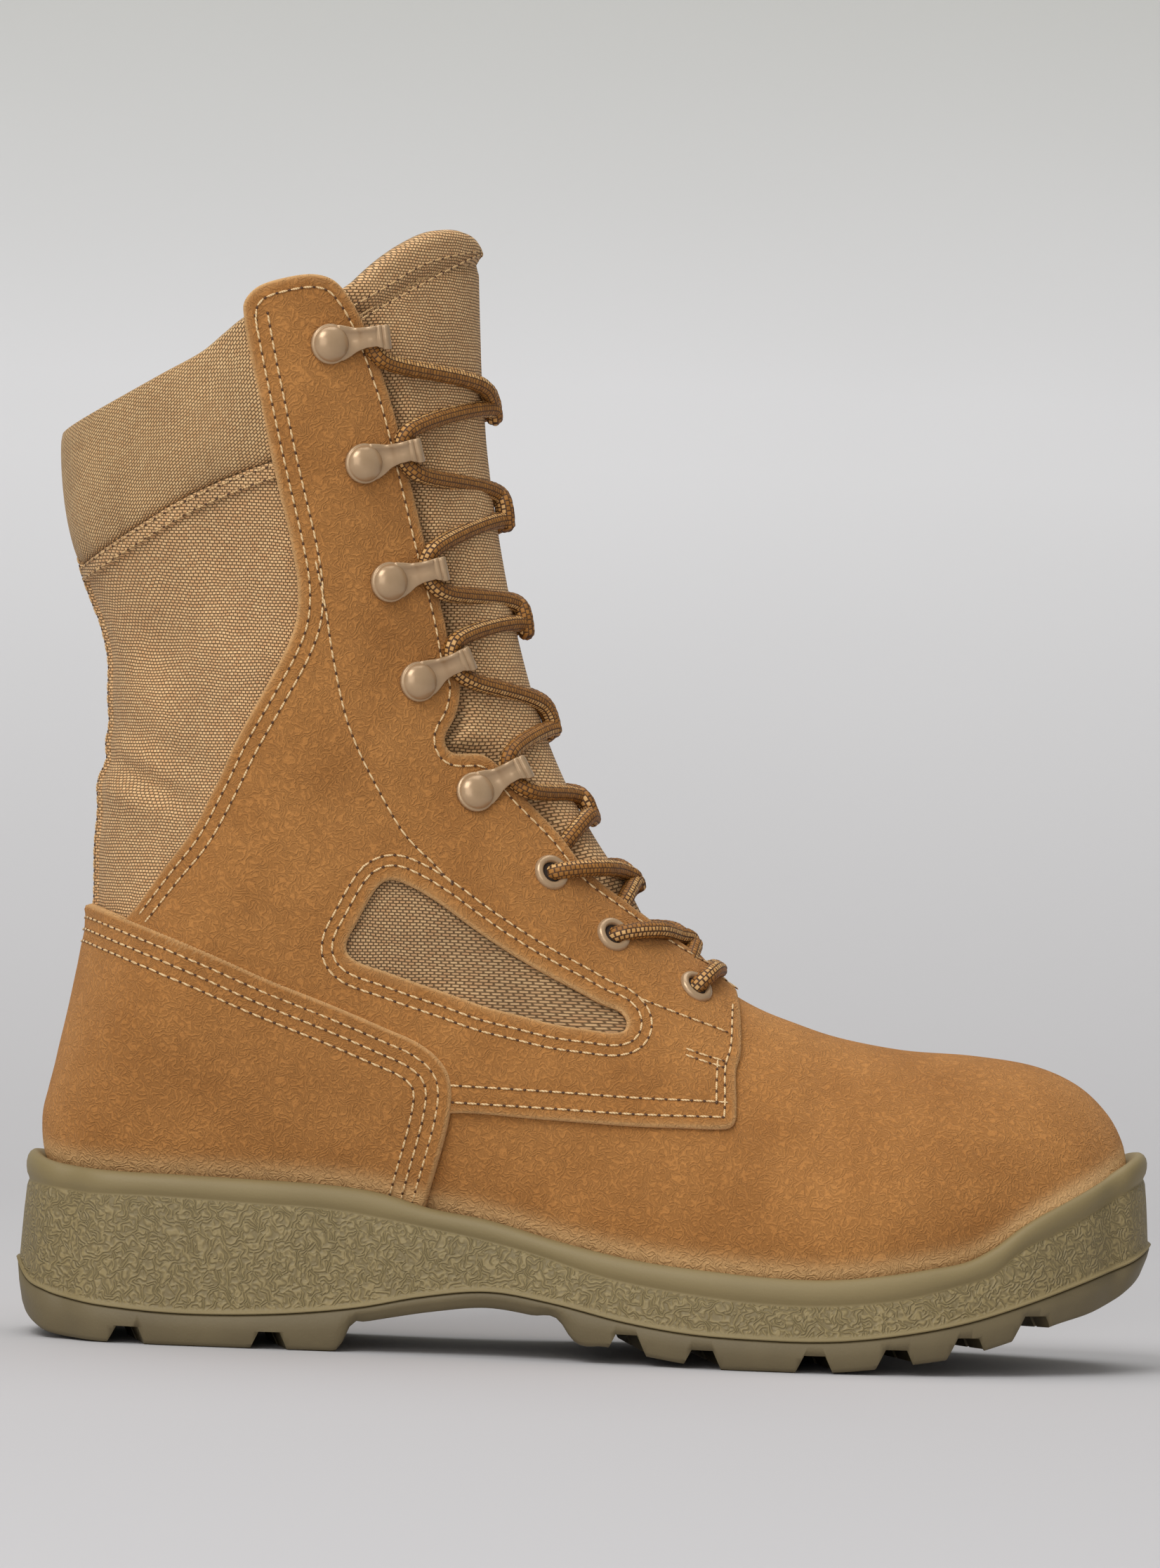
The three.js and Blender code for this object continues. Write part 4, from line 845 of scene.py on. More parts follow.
def suede_finish(name, light, dark, edge):
    """Rough-out suede: nap colours where it lies up and down, and the paler fibres of a cut edge."""
    material, tree, output = new_finish(name)
    place = add(tree, "ShaderNodeTexCoord")
    cloud = add(tree, "ShaderNodeTexNoise", inputs={
        "Vector": place.outputs["Object"], "Scale": 38.0, "Detail": 5.0, "Roughness": 0.6})
    tone = add(tree, "ShaderNodeMapRange", inputs={
        "Value": cloud.outputs["Fac"], "From Min": 0.3, "From Max": 0.7})
    tint = add(tree, "ShaderNodeMix", {"data_type": "RGBA"}, {
        "Factor": tone.outputs[0], 6: linear(dark), 7: linear(light)})
    # The nap parts in short curly lines about 0.5 mm wide and 1 mm apart.
    worms = curly_lines(tree, place, patch=2.4, pitch=1.05)
    fibre = add(tree, "ShaderNodeTexNoise", inputs={
        "Vector": place.outputs["Object"], "Scale": 2600.0, "Detail": 2.0})
    shade = add(tree, "ShaderNodeMapRange", inputs={
        "Value": worms.outputs[0], "From Min": -0.4, "From Max": 1.0, "To Min": 0.88, "To Max": 1.14})
    lined = add(tree, "ShaderNodeMix", {"data_type": "RGBA", "blend_type": "MULTIPLY"}, {
        "Factor": 1.0, 6: tint.outputs[2], 7: shade.outputs[0]})
    speck = add(tree, "ShaderNodeMapRange", inputs={
        "Value": fibre.outputs["Fac"], "From Min": 0.25, "From Max": 0.75, "To Min": 0.84, "To Max": 1.14})
    napped = add(tree, "ShaderNodeMix", {"data_type": "RGBA", "blend_type": "MULTIPLY"}, {
        "Factor": 1.0, 6: lined.outputs[2], 7: speck.outputs[0]})
    near_edge = add(tree, "ShaderNodeAttribute", {"attribute_name": "cut_edge"})
    frayed = add(tree, "ShaderNodeMath", {"operation": "MULTIPLY"}, {0: near_edge.outputs["Fac"], 1: 0.8})
    edged = add(tree, "ShaderNodeMix", {"data_type": "RGBA"}, {
        "Factor": frayed.outputs[0], 6: napped.outputs[2], 7: linear(edge)})
    nap = add(tree, "ShaderNodeBump", inputs={
        "Height": fibre.outputs["Fac"], "Strength": 0.7, "Distance": 0.0003})
    partings = add(tree, "ShaderNodeBump", inputs={
        "Height": shade.outputs[0], "Strength": 0.8, "Distance": 0.0008, "Normal": nap.outputs[0]})
    shader = add(tree, "ShaderNodeBsdfPrincipled", inputs={
        "Base Color": edged.outputs[2], "Roughness": 0.95, "Specular IOR Level": 0.2,
        "Sheen Weight": 0.25, "Sheen Roughness": 0.6, "Sheen Tint": linear("#e0b080"),
        "Normal": partings.outputs[0]})
    tree.links.new(shader.outputs[0], output.inputs["Surface"])
    return material


# Cattle hide with the flesh side out: no gloss at all, only a soft bloom at grazing angles.
suede = suede_finish("rough_out_suede_coyote", "#b27b43", "#9d6936", "#dcb27c")
vamp.data.materials.append(suede)
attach(vamp, "root")
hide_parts("upper")

# ---------------------------------------------------------------- nylon shaft
# Coarse woven nylon over thin foam, sewn under the quarters. It shows behind them and in their window.
# It folds a little at the Achilles tendon and above the heel counter.
PAD_SEAM = [
    (-41, 205.5), (-37.6, 207.3), (-23.1, 216.5), (-11.2, 223.9), (0.9, 230), (13.2, 235.1), (21, 238)]
SHAFT_EDGE = [
    (28, 240), (37, 228), (43, 206), (45, 188), (44, 168), (48, 152), (70, 142), (90, 130), (106, 112),
    (121, 100), (127, 88), (118, 78), (80, 78), (60, 76), (40, 82), (10, 93), (-20, 104), (-38, 109)]
shaft = sheet(
    "nylon_shaft", both_sides(smooth_line(PAD_SEAM + SHAFT_EDGE), True), -0.4, 1.4, pitch=1.6, edge=0.5)


def weave_finish(name, thread, light, dark, width, height, slant=0.0):
    """Coarse plain weave on the threads map: thread cells of a width and a height in millimetres."""
    material, tree, output = new_finish(name)
    threads = add(tree, "ShaderNodeUVMap", {"uv_map": "threads"})
    turned = add(tree, "ShaderNodeMapping", inputs={
        "Vector": threads.outputs[0], "Rotation": (0, 0, slant), "Scale": (1000, 1000, 1000)})
    sway = add(tree, "ShaderNodeTexNoise", inputs={
        "Vector": turned.outputs[0], "Scale": 0.09, "Detail": 2.0})
    swayed = add(tree, "ShaderNodeVectorMath", {"operation": "MULTIPLY_ADD"}, {
        0: sway.outputs["Color"], 1: (1.6, 1.6, 0.0), 2: turned.outputs[0]})
    cells = add(tree, "ShaderNodeTexBrick", {"offset": 0.5}, {
        "Vector": swayed.outputs[0], "Color1": linear(thread), "Color2": linear(light),
        "Mortar": linear(dark), "Scale": 1.0, "Mortar Size": 0.23 * height, "Mortar Smooth": 0.9,
        "Brick Width": width, "Row Height": height})
    place = add(tree, "ShaderNodeTexCoord")
    cloud = add(tree, "ShaderNodeTexNoise", inputs={
        "Vector": place.outputs["Object"], "Scale": 60.0, "Detail": 4.0})
    tone = add(tree, "ShaderNodeMapRange", inputs={
        "Value": cloud.outputs["Fac"], "From Min": 0.3, "From Max": 0.7, "To Min": 0.93, "To Max": 1.12})
    # Painted shade: the nylon is darker where a piece marks it, in the quarters' window.
    painted_window_shade = add(tree, "ShaderNodeAttribute", {"attribute_name": "painted_window_shade"})
    window_shaded_tone = add(tree, "ShaderNodeMath", {"operation": "MULTIPLY_ADD"}, {
        0: painted_window_shade.outputs["Fac"], 1: -0.32, 2: tone.outputs[0]})
    toned = add(tree, "ShaderNodeMix", {"data_type": "RGBA", "blend_type": "MULTIPLY"}, {
        "Factor": 1.0, 6: cells.outputs["Color"], 7: window_shaded_tone.outputs[0]})
    fibre = add(tree, "ShaderNodeTexNoise", inputs={
        "Vector": place.outputs["Object"], "Scale": 3000.0, "Detail": 1.0})
    twist = add(tree, "ShaderNodeBump", inputs={
        "Height": fibre.outputs["Fac"], "Strength": 0.2, "Distance": 0.0001})
    knuckles = add(tree, "ShaderNodeBump", {"invert": True}, {
        "Height": cells.outputs["Fac"], "Strength": 1.0, "Distance": 0.0004, "Normal": twist.outputs[0]})
    shader = add(tree, "ShaderNodeBsdfPrincipled", inputs={
        "Base Color": toned.outputs[2], "Roughness": 0.72, "Specular IOR Level": 0.4,
        "Sheen Weight": 0.2, "Sheen Tint": linear("#f0dcb8"), "Normal": knuckles.outputs[0]})
    tree.links.new(shader.outputs[0], output.inputs["Surface"])
    return material


# Textured 1000-denier nylon: each thread knuckle, 1.1 by 0.8 mm, catches a small soft highlight.
nylon = weave_finish("woven_nylon_coyote", "#d6a470", "#eabf89", "#7a5830", 1.1, 0.8)
shaft.data.materials.append(nylon)
# In the quarters' window the nylon lies between the leather's edges, and is painted darker there, as shade.
spots = points_of(shaft)
mark(shaft, "painted_window_shade", np.clip((spots[:, 0] - 26) / 8, 0, 1) * np.clip((136 - spots[:, 2]) / 8, 0, 1))
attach(shaft, "root")
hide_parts("upper")

# ---------------------------------------------------------------- padded collar
# A roll of soft foam in the same nylon, round the back of the shaft. It is sewn down along its lower
# seam, turned over the top and sewn down again inside. Its ends go under the facings.
PAD_BULGE, PAD_INSIDE, PAD_CREST = 2.0, 7.0, 3.2
PAD_SINK, PAD_TOP = 0.5, 0.985  # how deep its seams sit, and the share of its height where it turns over
PAD_COLUMNS = 150


def strip_between(low_line, high_line, count):
    """Two side-view lines over the back, matched point for point: two (count, 2) arrays of (u, v)."""
    made = []
    for line in (low_line, high_line):
        both = both_sides(smooth_line(line)[::-1], True)
        made.append(evenly(both, 0.5, last_form(*both.T)))
    return [np.stack([np.interp(np.linspace(0, 1, count), np.linspace(0, 1, len(m)), m[:, k])
                      for k in (0, 1)], 1) for m in made]


low_line, high_line = strip_between(PAD_SEAM, COLLAR_TOP + [(12, 276)], PAD_COLUMNS)
# The roll's profile: the share of the way from the seam up to the top, and how far it stands off the last.
profile = []
for share in np.linspace(0, 1, 22):
    profile.append((share * PAD_TOP, -PAD_SINK + PAD_BULGE * np.sin(np.pi * share**0.8) ** 0.6))
for turn in np.linspace(0, np.pi, 12)[1:-1]:
    profile.append((PAD_TOP + 0.03 * np.sin(turn), -PAD_SINK - PAD_CREST * (1 - np.cos(turn))))
for share in np.linspace(1, 0, 22):
    profile.append((share * PAD_TOP, -PAD_SINK - 2 * PAD_CREST - (PAD_INSIDE - 2 * PAD_CREST)
                    * np.sin(np.pi * share) ** 0.6 + 4.0 * (1 - share) ** 6))
lines = []
for share, stand_off in profile:
    line = low_line + (high_line - low_line) * share
    ripple = 0.22 * np.sin(np.arange(PAD_COLUMNS) * 0.9) * np.exp(-(share / 0.18) ** 2)
    lines.append(boot_form(*line.T, stand_off + ripple))
lines = np.array(lines)
rings = [lines[:, j] for j in range(PAD_COLUMNS)]
collar = mesh_piece("padded_collar", np.concatenate(rings), ringed(rings) + end_caps(rings))
# Its threads are mapped along the middle of the pad's face, and up and over it at the back.
along = np.linalg.norm(np.diff(lines[11], axis=0), axis=1)
upward = np.linalg.norm(np.diff(lines[:, PAD_COLUMNS // 2], axis=0), axis=1)
run, rise = np.append(0, np.cumsum(along)), np.append(0, np.cumsum(upward))
grain = np.column_stack([np.repeat(run, len(profile)), np.tile(rise, PAD_COLUMNS)])
finish_sheet(collar, np.zeros(len(grain)), grain)
# The same nylon cut on the bias, so its threads cross the roll at 29 degrees.
BIAS = 0.5
collar_nylon = weave_finish("woven_nylon_coyote_collar", "#cfa26e", "#e2bb86", "#775630", 1.1, 0.8, BIAS)
collar.data.materials.append(collar_nylon)
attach(collar, "root")
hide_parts("upper")

# ---------------------------------------------------------------- collar tape and back strip
# A folded tape covers the raw edge under the collar pad, and a narrow one covers the seam up the back.
# Both are nylon, sewn through near each edge.
TAPE_WIDTH, TAPE_THICK, STRIP_WIDTH = 4.8, 1.0, 8.5


def tape(name, line, width, lift, thick):
    """A flat tape that follows a (u, v) line on the last, with rounded edges."""
    line = evenly(line, BORDER_STEP, last_form(*line.T))
    across = []
    for share in np.linspace(-1, 1, 9):
        moved = aside(line, share * width / 2, closed=False)
        across.append(boot_form(*moved.T, lift + thick * (1 - share**6)))
    for share in np.linspace(1, -1, 5):
        moved = aside(line, share * width / 2, closed=False)
        across.append(boot_form(*moved.T, lift - 0.4))
    across = np.array(across)
    rings = [across[:, i] for i in range(len(line))]
    points = np.concatenate(rings)
    piece = mesh_piece(name, points, ringed(rings) + end_caps(rings))
    face_out(piece)
    finish_sheet(piece, np.zeros(len(points)), weave_grain(points))
    return piece


seam = both_sides(smooth_line(PAD_SEAM)[::-1], True)
pad_side = 1 if aside(seam, 2.0, closed=False)[:, 0].mean() < seam[:, 0].mean() else -1
tape_line = aside(seam, pad_side * (TAPE_WIDTH / 2 + 0.3), closed=False)
collar_tape = tape("collar_tape", tape_line, TAPE_WIDTH, -0.3, TAPE_THICK)
strip_line = np.column_stack([np.linspace(19.0, 23.9, 90), np.zeros(90)])
back_strip = tape("back_strip", strip_line, STRIP_WIDTH, -0.3, TAPE_THICK)
for piece in (collar_tape, back_strip):
    piece.data.materials.append(nylon)
    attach(piece, "root")
    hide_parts("upper")

# ---------------------------------------------------------------- quarters
# One suede overlay for each side, from the facing down to the vamp, with a window that shows the nylon.
# Rows of stitches hold them, and press the leather in where they run.
QUARTER_LIFT, QUARTER_THICK = 2.0, 1.7
QUARTER_BACK = [
    (-30, 100), (-17.7, 116.2), (-10.9, 126.5), (-4.2, 136.3), (1.3, 148.3), (6.8, 161.5), (13.4, 174.8),
    (18.6, 185.7), (20.9, 192.9), (21.2, 201.2), (19.1, 212.9), (15, 228.2), (10.8, 244.7), (6.6, 262.3),
    (4.4, 272.5)]
QUARTER_NOSE = [
    (136.8, 101.8), (140.6, 98.2), (142.2, 92.9), (143, 82), (141.9, 77.9), (142.2, 69.2), (142.0, 64.6),
    (140.6, 63.0), (137.5, 62.5)]
QUARTER_FOOT = [(129, 62.5), (115.3, 62.6), (90.2, 63.6), (67.2, 64.4)]
QUARTER_HIDDEN = [(56, 62), (40, 66), (10, 80), (-20, 94)]
WINDOW = [
    (45.7, 124.1), (48.4, 125.4), (53.7, 123.8), (62, 119.2), (70.1, 113.6), (80.2, 107.2), (89.6, 102),
    (99, 97.4), (105.3, 94.2), (110.3, 92.3), (112.2, 89.9), (111.7, 87.4), (108.7, 86.7), (102.5, 87.4),
    (93.2, 88.6), (83.9, 90.7), (74.6, 92.8), (65.2, 95.8), (55.9, 98.6), (48.4, 101), (40.3, 103.6),
    (37.9, 105.4), (37.4, 108.1), (39.9, 113.7), (43.3, 120.6)]
MIDLINE_GAP = 0.012  # of a turn, on each side of the ridge where the quarters meet over the vamp
SEAM_ROWS = []  # each row: its (u, v) line and its stitches' height above the last


EDGE_ROWS = [  # the edge that a row follows, and how far inside it the row runs
    ([(4.4, 270)] + FACING_TOP + FACING_FRONT + QUARTER_NOSE[:2], 3.5),
    (QUARTER_BACK[1:], 3.0),
    (QUARTER_BACK[1:], 6.3),
    ([(142.8, 92), (143, 82), (141.9, 77.9), (142.2, 69.2), (142.2, 66)], 3.4),
    ([(138.7, 62.5)] + QUARTER_FOOT, 3.0),
    ([(138.7, 62.5)] + QUARTER_FOOT, 7.4)]
WINDOW_ROWS = [3.8, 6.6]  # how far outside the window's edge each row runs
CROSS_ROWS = [  # down the quarter from the hooks, from the window to the nose, and three short bars
    [(25.6, 208), (28.1, 197.7), (31.1, 182.5), (35.8, 164.8), (44.1, 148.6), (51.7, 137), (59, 130.1),
     (64.5, 124.6)],
    [(116.7, 94.8), (127, 91), (138.5, 86.9)],
    [(129, 82.2), (133, 80.9), (138, 79.6)],
    [(129, 80.6), (133, 79.3), (138, 78.0)],
    [(136.4, 78.8), (136.4, 74), (136.6, 68.8)]]


def stepped_aside(line, distance, steps, slack, closed=False):
    """A line moved aside in even steps. Points that bunch at a corner, nearer by a slack, are left out."""
    moved = line
    for _ in range(steps):
        moved = aside(moved, distance / steps, closed)
        moved = evenly(moved, 1.0, last_form(*moved.T), closed)
    return moved[nearest(last_form(*moved.T), last_form(*line.T)) > abs(distance) - slack]


def row_beside(points, inset, side, closed=False):
    """A seam row inset millimetres to the right of a side-view line, as seen from the outer side."""
    edge_line = on_side(smooth_line(points, 1.0, closed), side)
    row = stepped_aside(edge_line, -side * inset, math.ceil(abs(inset)), 0.35, closed)
    return np.concatenate([row, row[:1]]) if closed else row


quarter_edge = (COLLAR_TOP[-1:] + FACING_TOP + FACING_FRONT + QUARTER_NOSE
                + QUARTER_FOOT + QUARTER_HIDDEN + QUARTER_BACK)
for side, name in ((-1, "outer"), (1, "inner")):
    rows = [row_beside(points, inset, side) for points, inset in EDGE_ROWS]
    rows += [row_beside(WINDOW, -outside, side, closed=True) for outside in WINDOW_ROWS]
    rows += [on_side(smooth_line(points), side) for points in CROSS_ROWS]
    SEAM_ROWS += [(row, QUARTER_LIFT) for row in rows]
    outline = on_side(smooth_line(quarter_edge, closed=True), side)
    hole = on_side(smooth_line(WINDOW, closed=True), side)
    short_of = np.minimum if side < 0 else np.maximum
    outline[:, 1] = short_of(outline[:, 1], 0.5 + side * MIDLINE_GAP)
    quarter = sheet(
        f"quarter_{name}_side", outline, QUARTER_LIFT, QUARTER_THICK, holes=[hole], pitch=1.35,
        seams=np.concatenate([last_form(*row.T) for row in rows]))
    quarter.data.materials.append(suede)
    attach(quarter, "root")
    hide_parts(f"quarter_{name}")

# ---------------------------------------------------------------- heel counter
# A suede overlay round the heel, over the quarters' lower ends and a stiff moulded cup.
# Three rows of stitches follow its rolled upper edge.
COUNTER_LIFT, COUNTER_THICK = 3.3, 3.0
COUNTER_EDGE = [
    (-37, 116.4), (-34.3, 116.2), (-31.8, 115.9), (-17.3, 111.2), (-0.5, 105.3), (17.6, 98),
    (35.6, 91.5), (49, 86.3), (57.2, 83), (62.6, 79.3), (65.9, 74.9), (67, 69.7), (66.4, 62.5),
    (64.5, 53.5), (62.5, 45.5), (61.4, 40.6), (60.4, 35.5)]
COUNTER_RIM, HEEL_FLARE = 0.75, 1.6  # how far the rim rolls up, and how far the low back stands out
COUNTER_INSETS = [3.6, 6.8, 10.0]  # its rows of stitches, from its edge


def counter_lift(points):
    """The counter's face: a rim rolled up along its upper edge, and a fuller heel low at the back."""
    off_edge, _ = off_line(points[:, (0, 2)], smooth_line(COUNTER_EDGE, 4.0))
    low_back = np.clip((64 - points[:, 2]) / 14, 0, 1) * np.clip((-24 - points[:, 0]) / 14, 0, 1)
    rim = COUNTER_RIM * np.exp(-(off_edge / 2.4) ** 2)
    return COUNTER_LIFT - COUNTER_RIM + rim + HEEL_FLARE * low_back


edge = on_side(smooth_line(COUNTER_EDGE), -1, True)
edge = edge[np.argmax(edge[:, 1] > 0.004):]
counter_line = np.concatenate([edge[::-1], edge * (1, -1)])
way = -1 if aside(counter_line, 1.0, closed=False)[:, 0].mean() > counter_line[:, 0].mean() else 1
counter_rows = [stepped_aside(counter_line, way * inset, int(inset / 0.8), 0.4)
                for inset in COUNTER_INSETS]
SEAM_ROWS += [(row, COUNTER_LIFT - 0.7) for row in counter_rows]
counter = sheet(
    "heel_counter_cover", counter_line, counter_lift, COUNTER_THICK, pitch=1.5, edge=1.3,
    seams=np.concatenate([last_form(*row.T) for row in counter_rows]))
pale_band_above_lip(counter)
counter.data.materials.append(suede)
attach(counter, "root")
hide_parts("heel_counter")

# ---------------------------------------------------------------- tongue
# A padded nylon tongue under the facings, sewn to the vamp's throat. It shows between them, stands above
# the facings, and its bound top edge rolls over a seam.
TONGUE_UNDER, TONGUE_RISE, TONGUE_THICK = -4.2, 4.4, 4.6
TONGUE_EDGE = [
    (65.5, 294), (64.6, 297.6), (61.6, 299.7), (54.3, 299), (47.2, 295.4), (39.3, 289.3), (32, 281.5),
    (24, 268), (26, 250), (33, 228), (39, 205), (45, 184), (49, 166), (56, 152), (70, 143), (84, 128),
    (99, 112), (114, 100), (126, 93.5), (133, 97), (134.5, 103.6)]
BINDING_SEAM = [(22, 266), (35.3, 274.5), (42.7, 279.6), (51.6, 286), (66, 291.6)]
THROAT = FACING_TOP[3:] + FACING_FRONT


def tongue_lift(points):
    """How far the tongue's face stands off the last: low under the facings, full between them."""
    flat = points[:, (0, 2)]
    line = smooth_line(THROAT, 2.0)
    off_edge, _ = off_line(flat, line)
    front = np.concatenate([line, [(220, 106), (220, 330), (27, 330)]])
    depth = np.where(inside(flat, front), off_edge, -off_edge)
    rise = np.clip((depth - 0.4) / 5.0, 0, 1)
    lift = TONGUE_UNDER + TONGUE_RISE * rise**2 * (3 - 2 * rise)
    seam = smooth_line(BINDING_SEAM, 2.0)
    off_seam, share = off_line(flat, seam)
    above = flat[:, 1] > np.interp(flat[:, 0], seam[:, 0], seam[:, 1])
    roll = np.where(above, 1.1 * (1 - np.exp(-(off_seam / 2.2) ** 2)), 0)
    return lift + roll - 1.0 * np.exp(-(off_seam / 1.3) ** 2)


def tongue_grain(points):
    """Thread directions on the tongue: across it, and up it."""
    return np.column_stack([40 * np.arctan2(points[:, 1], points[:, 0] - 25), points[:, 2]])


tongue_outline = both_sides(smooth_line(TONGUE_EDGE), False)
tongue = sheet(
    "padded_tongue", tongue_outline, tongue_lift, TONGUE_THICK, pitch=1.4, edge=2.2, grain=tongue_grain)
tongue.data.materials.append(nylon)
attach(tongue, "root")
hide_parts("tongue")

# ---------------------------------------------------------------- speed hooks
# Each is a painted steel strip, riveted through the facing under a domed button. Its arm runs out over the
# edge of the leather and humps over the lace, with two pressed ribs and a turned-down lip at its end.
HOOKS_AT = [
    # x, z and how far its arm is turned up
    (69.2, 149.0, 29), (52.8, 178.2, 25), (44.2, 204.3, 15), (36.5, 235.4, 15), (26.6, 266.5, 9)]
BUTTON_PROFILE = [
    (0, 3.7), (1.3, 3.62), (2.5, 3.36), (3.5, 2.9), (4.3, 2.3), (4.7, 1.75), (4.8, 1.4), (4.95, 1.3),
    (5.2, 1.25), (5.35, 1.05), (5.4, 0.7), (5.35, 0.0)]
ARM_LINE = [  # along the arm and up off the leather
    (0, 0.75), (4, 0.85), (6, 1.0), (7.6, 1.7), (8.8, 3.0), (10, 4.0), (11.2, 4.35), (12.1, 4.45),
    (12.6, 4.95), (13.1, 4.5), (13.7, 4.5), (14.2, 5.0), (14.8, 4.6), (15.4, 3.9), (15.7, 2.8),
    (15.5, 1.6)]
ARM_WIDTH = [  # along the arm, and how far its lower and its upper edge lie from its middle
    (0, 5.0, 5.0), (3, 4.8, 4.7), (5, 4.0, 4.1), (7, 2.9, 3.5), (9, 2.2, 3.3), (11.5, 2.1, 3.3),
    (12.5, 2.6, 3.4), (13.8, 3.2, 3.3), (15.7, 3.3, 3.2)]
ARM_THICK, FLANGE = 0.95, 0.55
FLANGE_FROM, FLANGE_TO = 2.5, 11.8
ARM_SECTION = [  # across the arm as a share of its half width, up in thicknesses, and whether on the flange
    (-1, 0.3, 0), (-0.93, 0.5, 0), (0, 0.5, 0), (0.62, 0.5, 0), (0.72, 0.5, 1), (0.93, 0.5, 1),
    (1, 0.3, 1), (1, -0.3, 0), (0.93, -0.5, 0), (0, -0.5, 0), (-0.93, -0.5, 0), (-1, -0.3, 0)]


def seat(x, z, side, turn, lift):
    """A place on the leather: its point, and unit vectors along an arm, across it and outwards."""
    uv = on_side([(x, z)], side)
    pu, pv = slopes_of_form(*uv.T)
    out = unit(np.cross(pv, pu))[0]
    angle = math.radians(turn)
    arm = np.array([math.cos(angle), 0, math.sin(angle)])
    arm = unit(arm - out * (arm @ out))
    return boot_form(*uv.T, lift)[0], arm, -side * np.cross(out, arm), out


def lathe(profile, steps):
    """Rings of a profile (radius, height) turned round Z. A radius of 0 is kept just open."""
    angles = np.arange(steps) * 2 * np.pi / steps
    round_z = np.column_stack([np.cos(angles), np.sin(angles), np.ones(steps)])
    return [round_z * (max(radius, 0.02), max(radius, 0.02), height) for radius, height in profile]


button = lathe(BUTTON_PROFILE, 32)
line = smooth_line(ARM_LINE, 0.33)
slope = unit(np.gradient(line, axis=0))
along, below, above = np.array(ARM_WIDTH).T
lower, upper = np.interp(line[:, 0], along, below), np.interp(line[:, 0], along, above)
loops = []
for (x, h), (sx, sh), low_edge, high_edge in zip(line, slope, lower, upper):
    flange = FLANGE if FLANGE_FROM < x < FLANGE_TO else 0.0
    cross = []
    for share, up, on_flange in ARM_SECTION:
        rise = (up + flange * on_flange) * ARM_THICK
        cross.append((x - sh * rise, share * (high_edge if share > 0 else low_edge), h + sx * rise))
    loops.append(np.array(cross))
hook_parts = [
    (np.concatenate(button), ringed(button, True, True)),
    (np.concatenate(loops), ringed(loops) + end_caps(loops))]


def place_all(name, parts, seats):
    """One mesh with a copy of the parts at every seat."""
    points, faces, base = [], [], 0
    for at, arm, across, out in seats:
        for shape, shape_faces in parts:
            points.append(at + shape[:, :1] * arm + shape[:, 1:2] * across + shape[:, 2:] * out)
            faces += [tuple(i + base for i in face) for face in shape_faces]
            base += len(shape)
    piece = mesh_piece(name, np.concatenate(points), faces)
    face_out(piece)
    return piece


hook_seats = [seat(x, z, side, turn, QUARTER_LIFT) for side in (-1, 1) for x, z, turn in HOOKS_AT]
hooks = place_all("speed_hooks", hook_parts, hook_seats)

paint, tree, output = new_finish("baked_enamel_on_steel_tan")
# Sprayed and baked paint on pressed steel: smooth, satin, with a soft highlight on each dome.
place = add(tree, "ShaderNodeTexCoord")
cloud = add(tree, "ShaderNodeTexNoise", inputs={
    "Vector": place.outputs["Object"], "Scale": 260.0, "Detail": 3.0})
tint = add(tree, "ShaderNodeMix", {"data_type": "RGBA"}, {
    "Factor": cloud.outputs["Fac"], 6: linear("#a88a68"), 7: linear("#ba9c79")})
peel = add(tree, "ShaderNodeBump", inputs={
    "Height": cloud.outputs["Fac"], "Strength": 0.08, "Distance": 0.0003})
shader = add(tree, "ShaderNodeBsdfPrincipled", inputs={
    "Base Color": tint.outputs[2], "Roughness": 0.27, "Metallic": 0.3, "IOR": 1.5,
    "Normal": peel.outputs[0]})
tree.links.new(shader.outputs[0], output.inputs["Surface"])
hooks.data.materials.append(paint)
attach(hooks, "root")
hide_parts(*[f"hook_{name}_{i}" for name in ("outer", "inner") for i in range(1, 6)])

# ---------------------------------------------------------------- eyelets
# Rolled and painted metal rings, three on each side of the throat. Their barrels go through the leather,
# and a dark disc in each is painted shade.
EYELETS_AT = [(129.7, 98.5), (107.2, 112.0), (90.1, 128.2)]
EYELET_PROFILE = [
    (2.75, -2.6), (2.75, 0.3), (2.9, 0.85), (3.25, 1.2), (3.75, 1.3), (4.3, 1.1), (4.75, 0.7), (4.95, 0.1),
    (4.95, -0.3), (3.2, -0.3), (3.2, -2.6)]
rings = lathe(EYELET_PROFILE, 36)
total = len(rings) * len(rings[0])
ring_faces = [tuple(i % total for i in face) for face in ringed(rings + rings[:1])]
eyelet_seats = [seat(x, z, side, 34, QUARTER_LIFT - 0.1) for side in (-1, 1) for x, z in EYELETS_AT]
eyelets = place_all("eyelets", [(np.concatenate(rings), ring_faces)], eyelet_seats)
eyelets.data.materials.append(paint)
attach(eyelets, "root")
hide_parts(*[f"eyelet_{name}_{i}" for name in ("outer", "inner") for i in range(1, 4)])
# Painted shade: a dark disc sits in each eyelet's hole, since the leather under it is not cut through.
SHADE_DISC_PROFILE = [(0, 0.32), (1.2, 0.32), (2.9, 0.3), (2.9, 0.1)]
shade_disc = lathe(SHADE_DISC_PROFILE, 24)
holes = place_all("painted_shade_discs_in_eyelets", [(np.concatenate(shade_disc), ringed(shade_disc, True, True))], eyelet_seats)
shadow, tree, output = new_finish("painted_shade_in_eyelet")
# A flat dark disc in each eyelet: painted shade where the inside of the barrel would lie in shadow.
shader = add(tree, "ShaderNodeBsdfPrincipled", inputs={"Base Color": linear("#2a1d12"), "Roughness": 0.9})
tree.links.new(shader.outputs[0], output.inputs["Surface"])
holes.data.materials.append(shadow)
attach(holes, "root")
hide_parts(*[f"eyelet_{name}_{i}" for name in ("outer", "inner") for i in range(1, 4)])

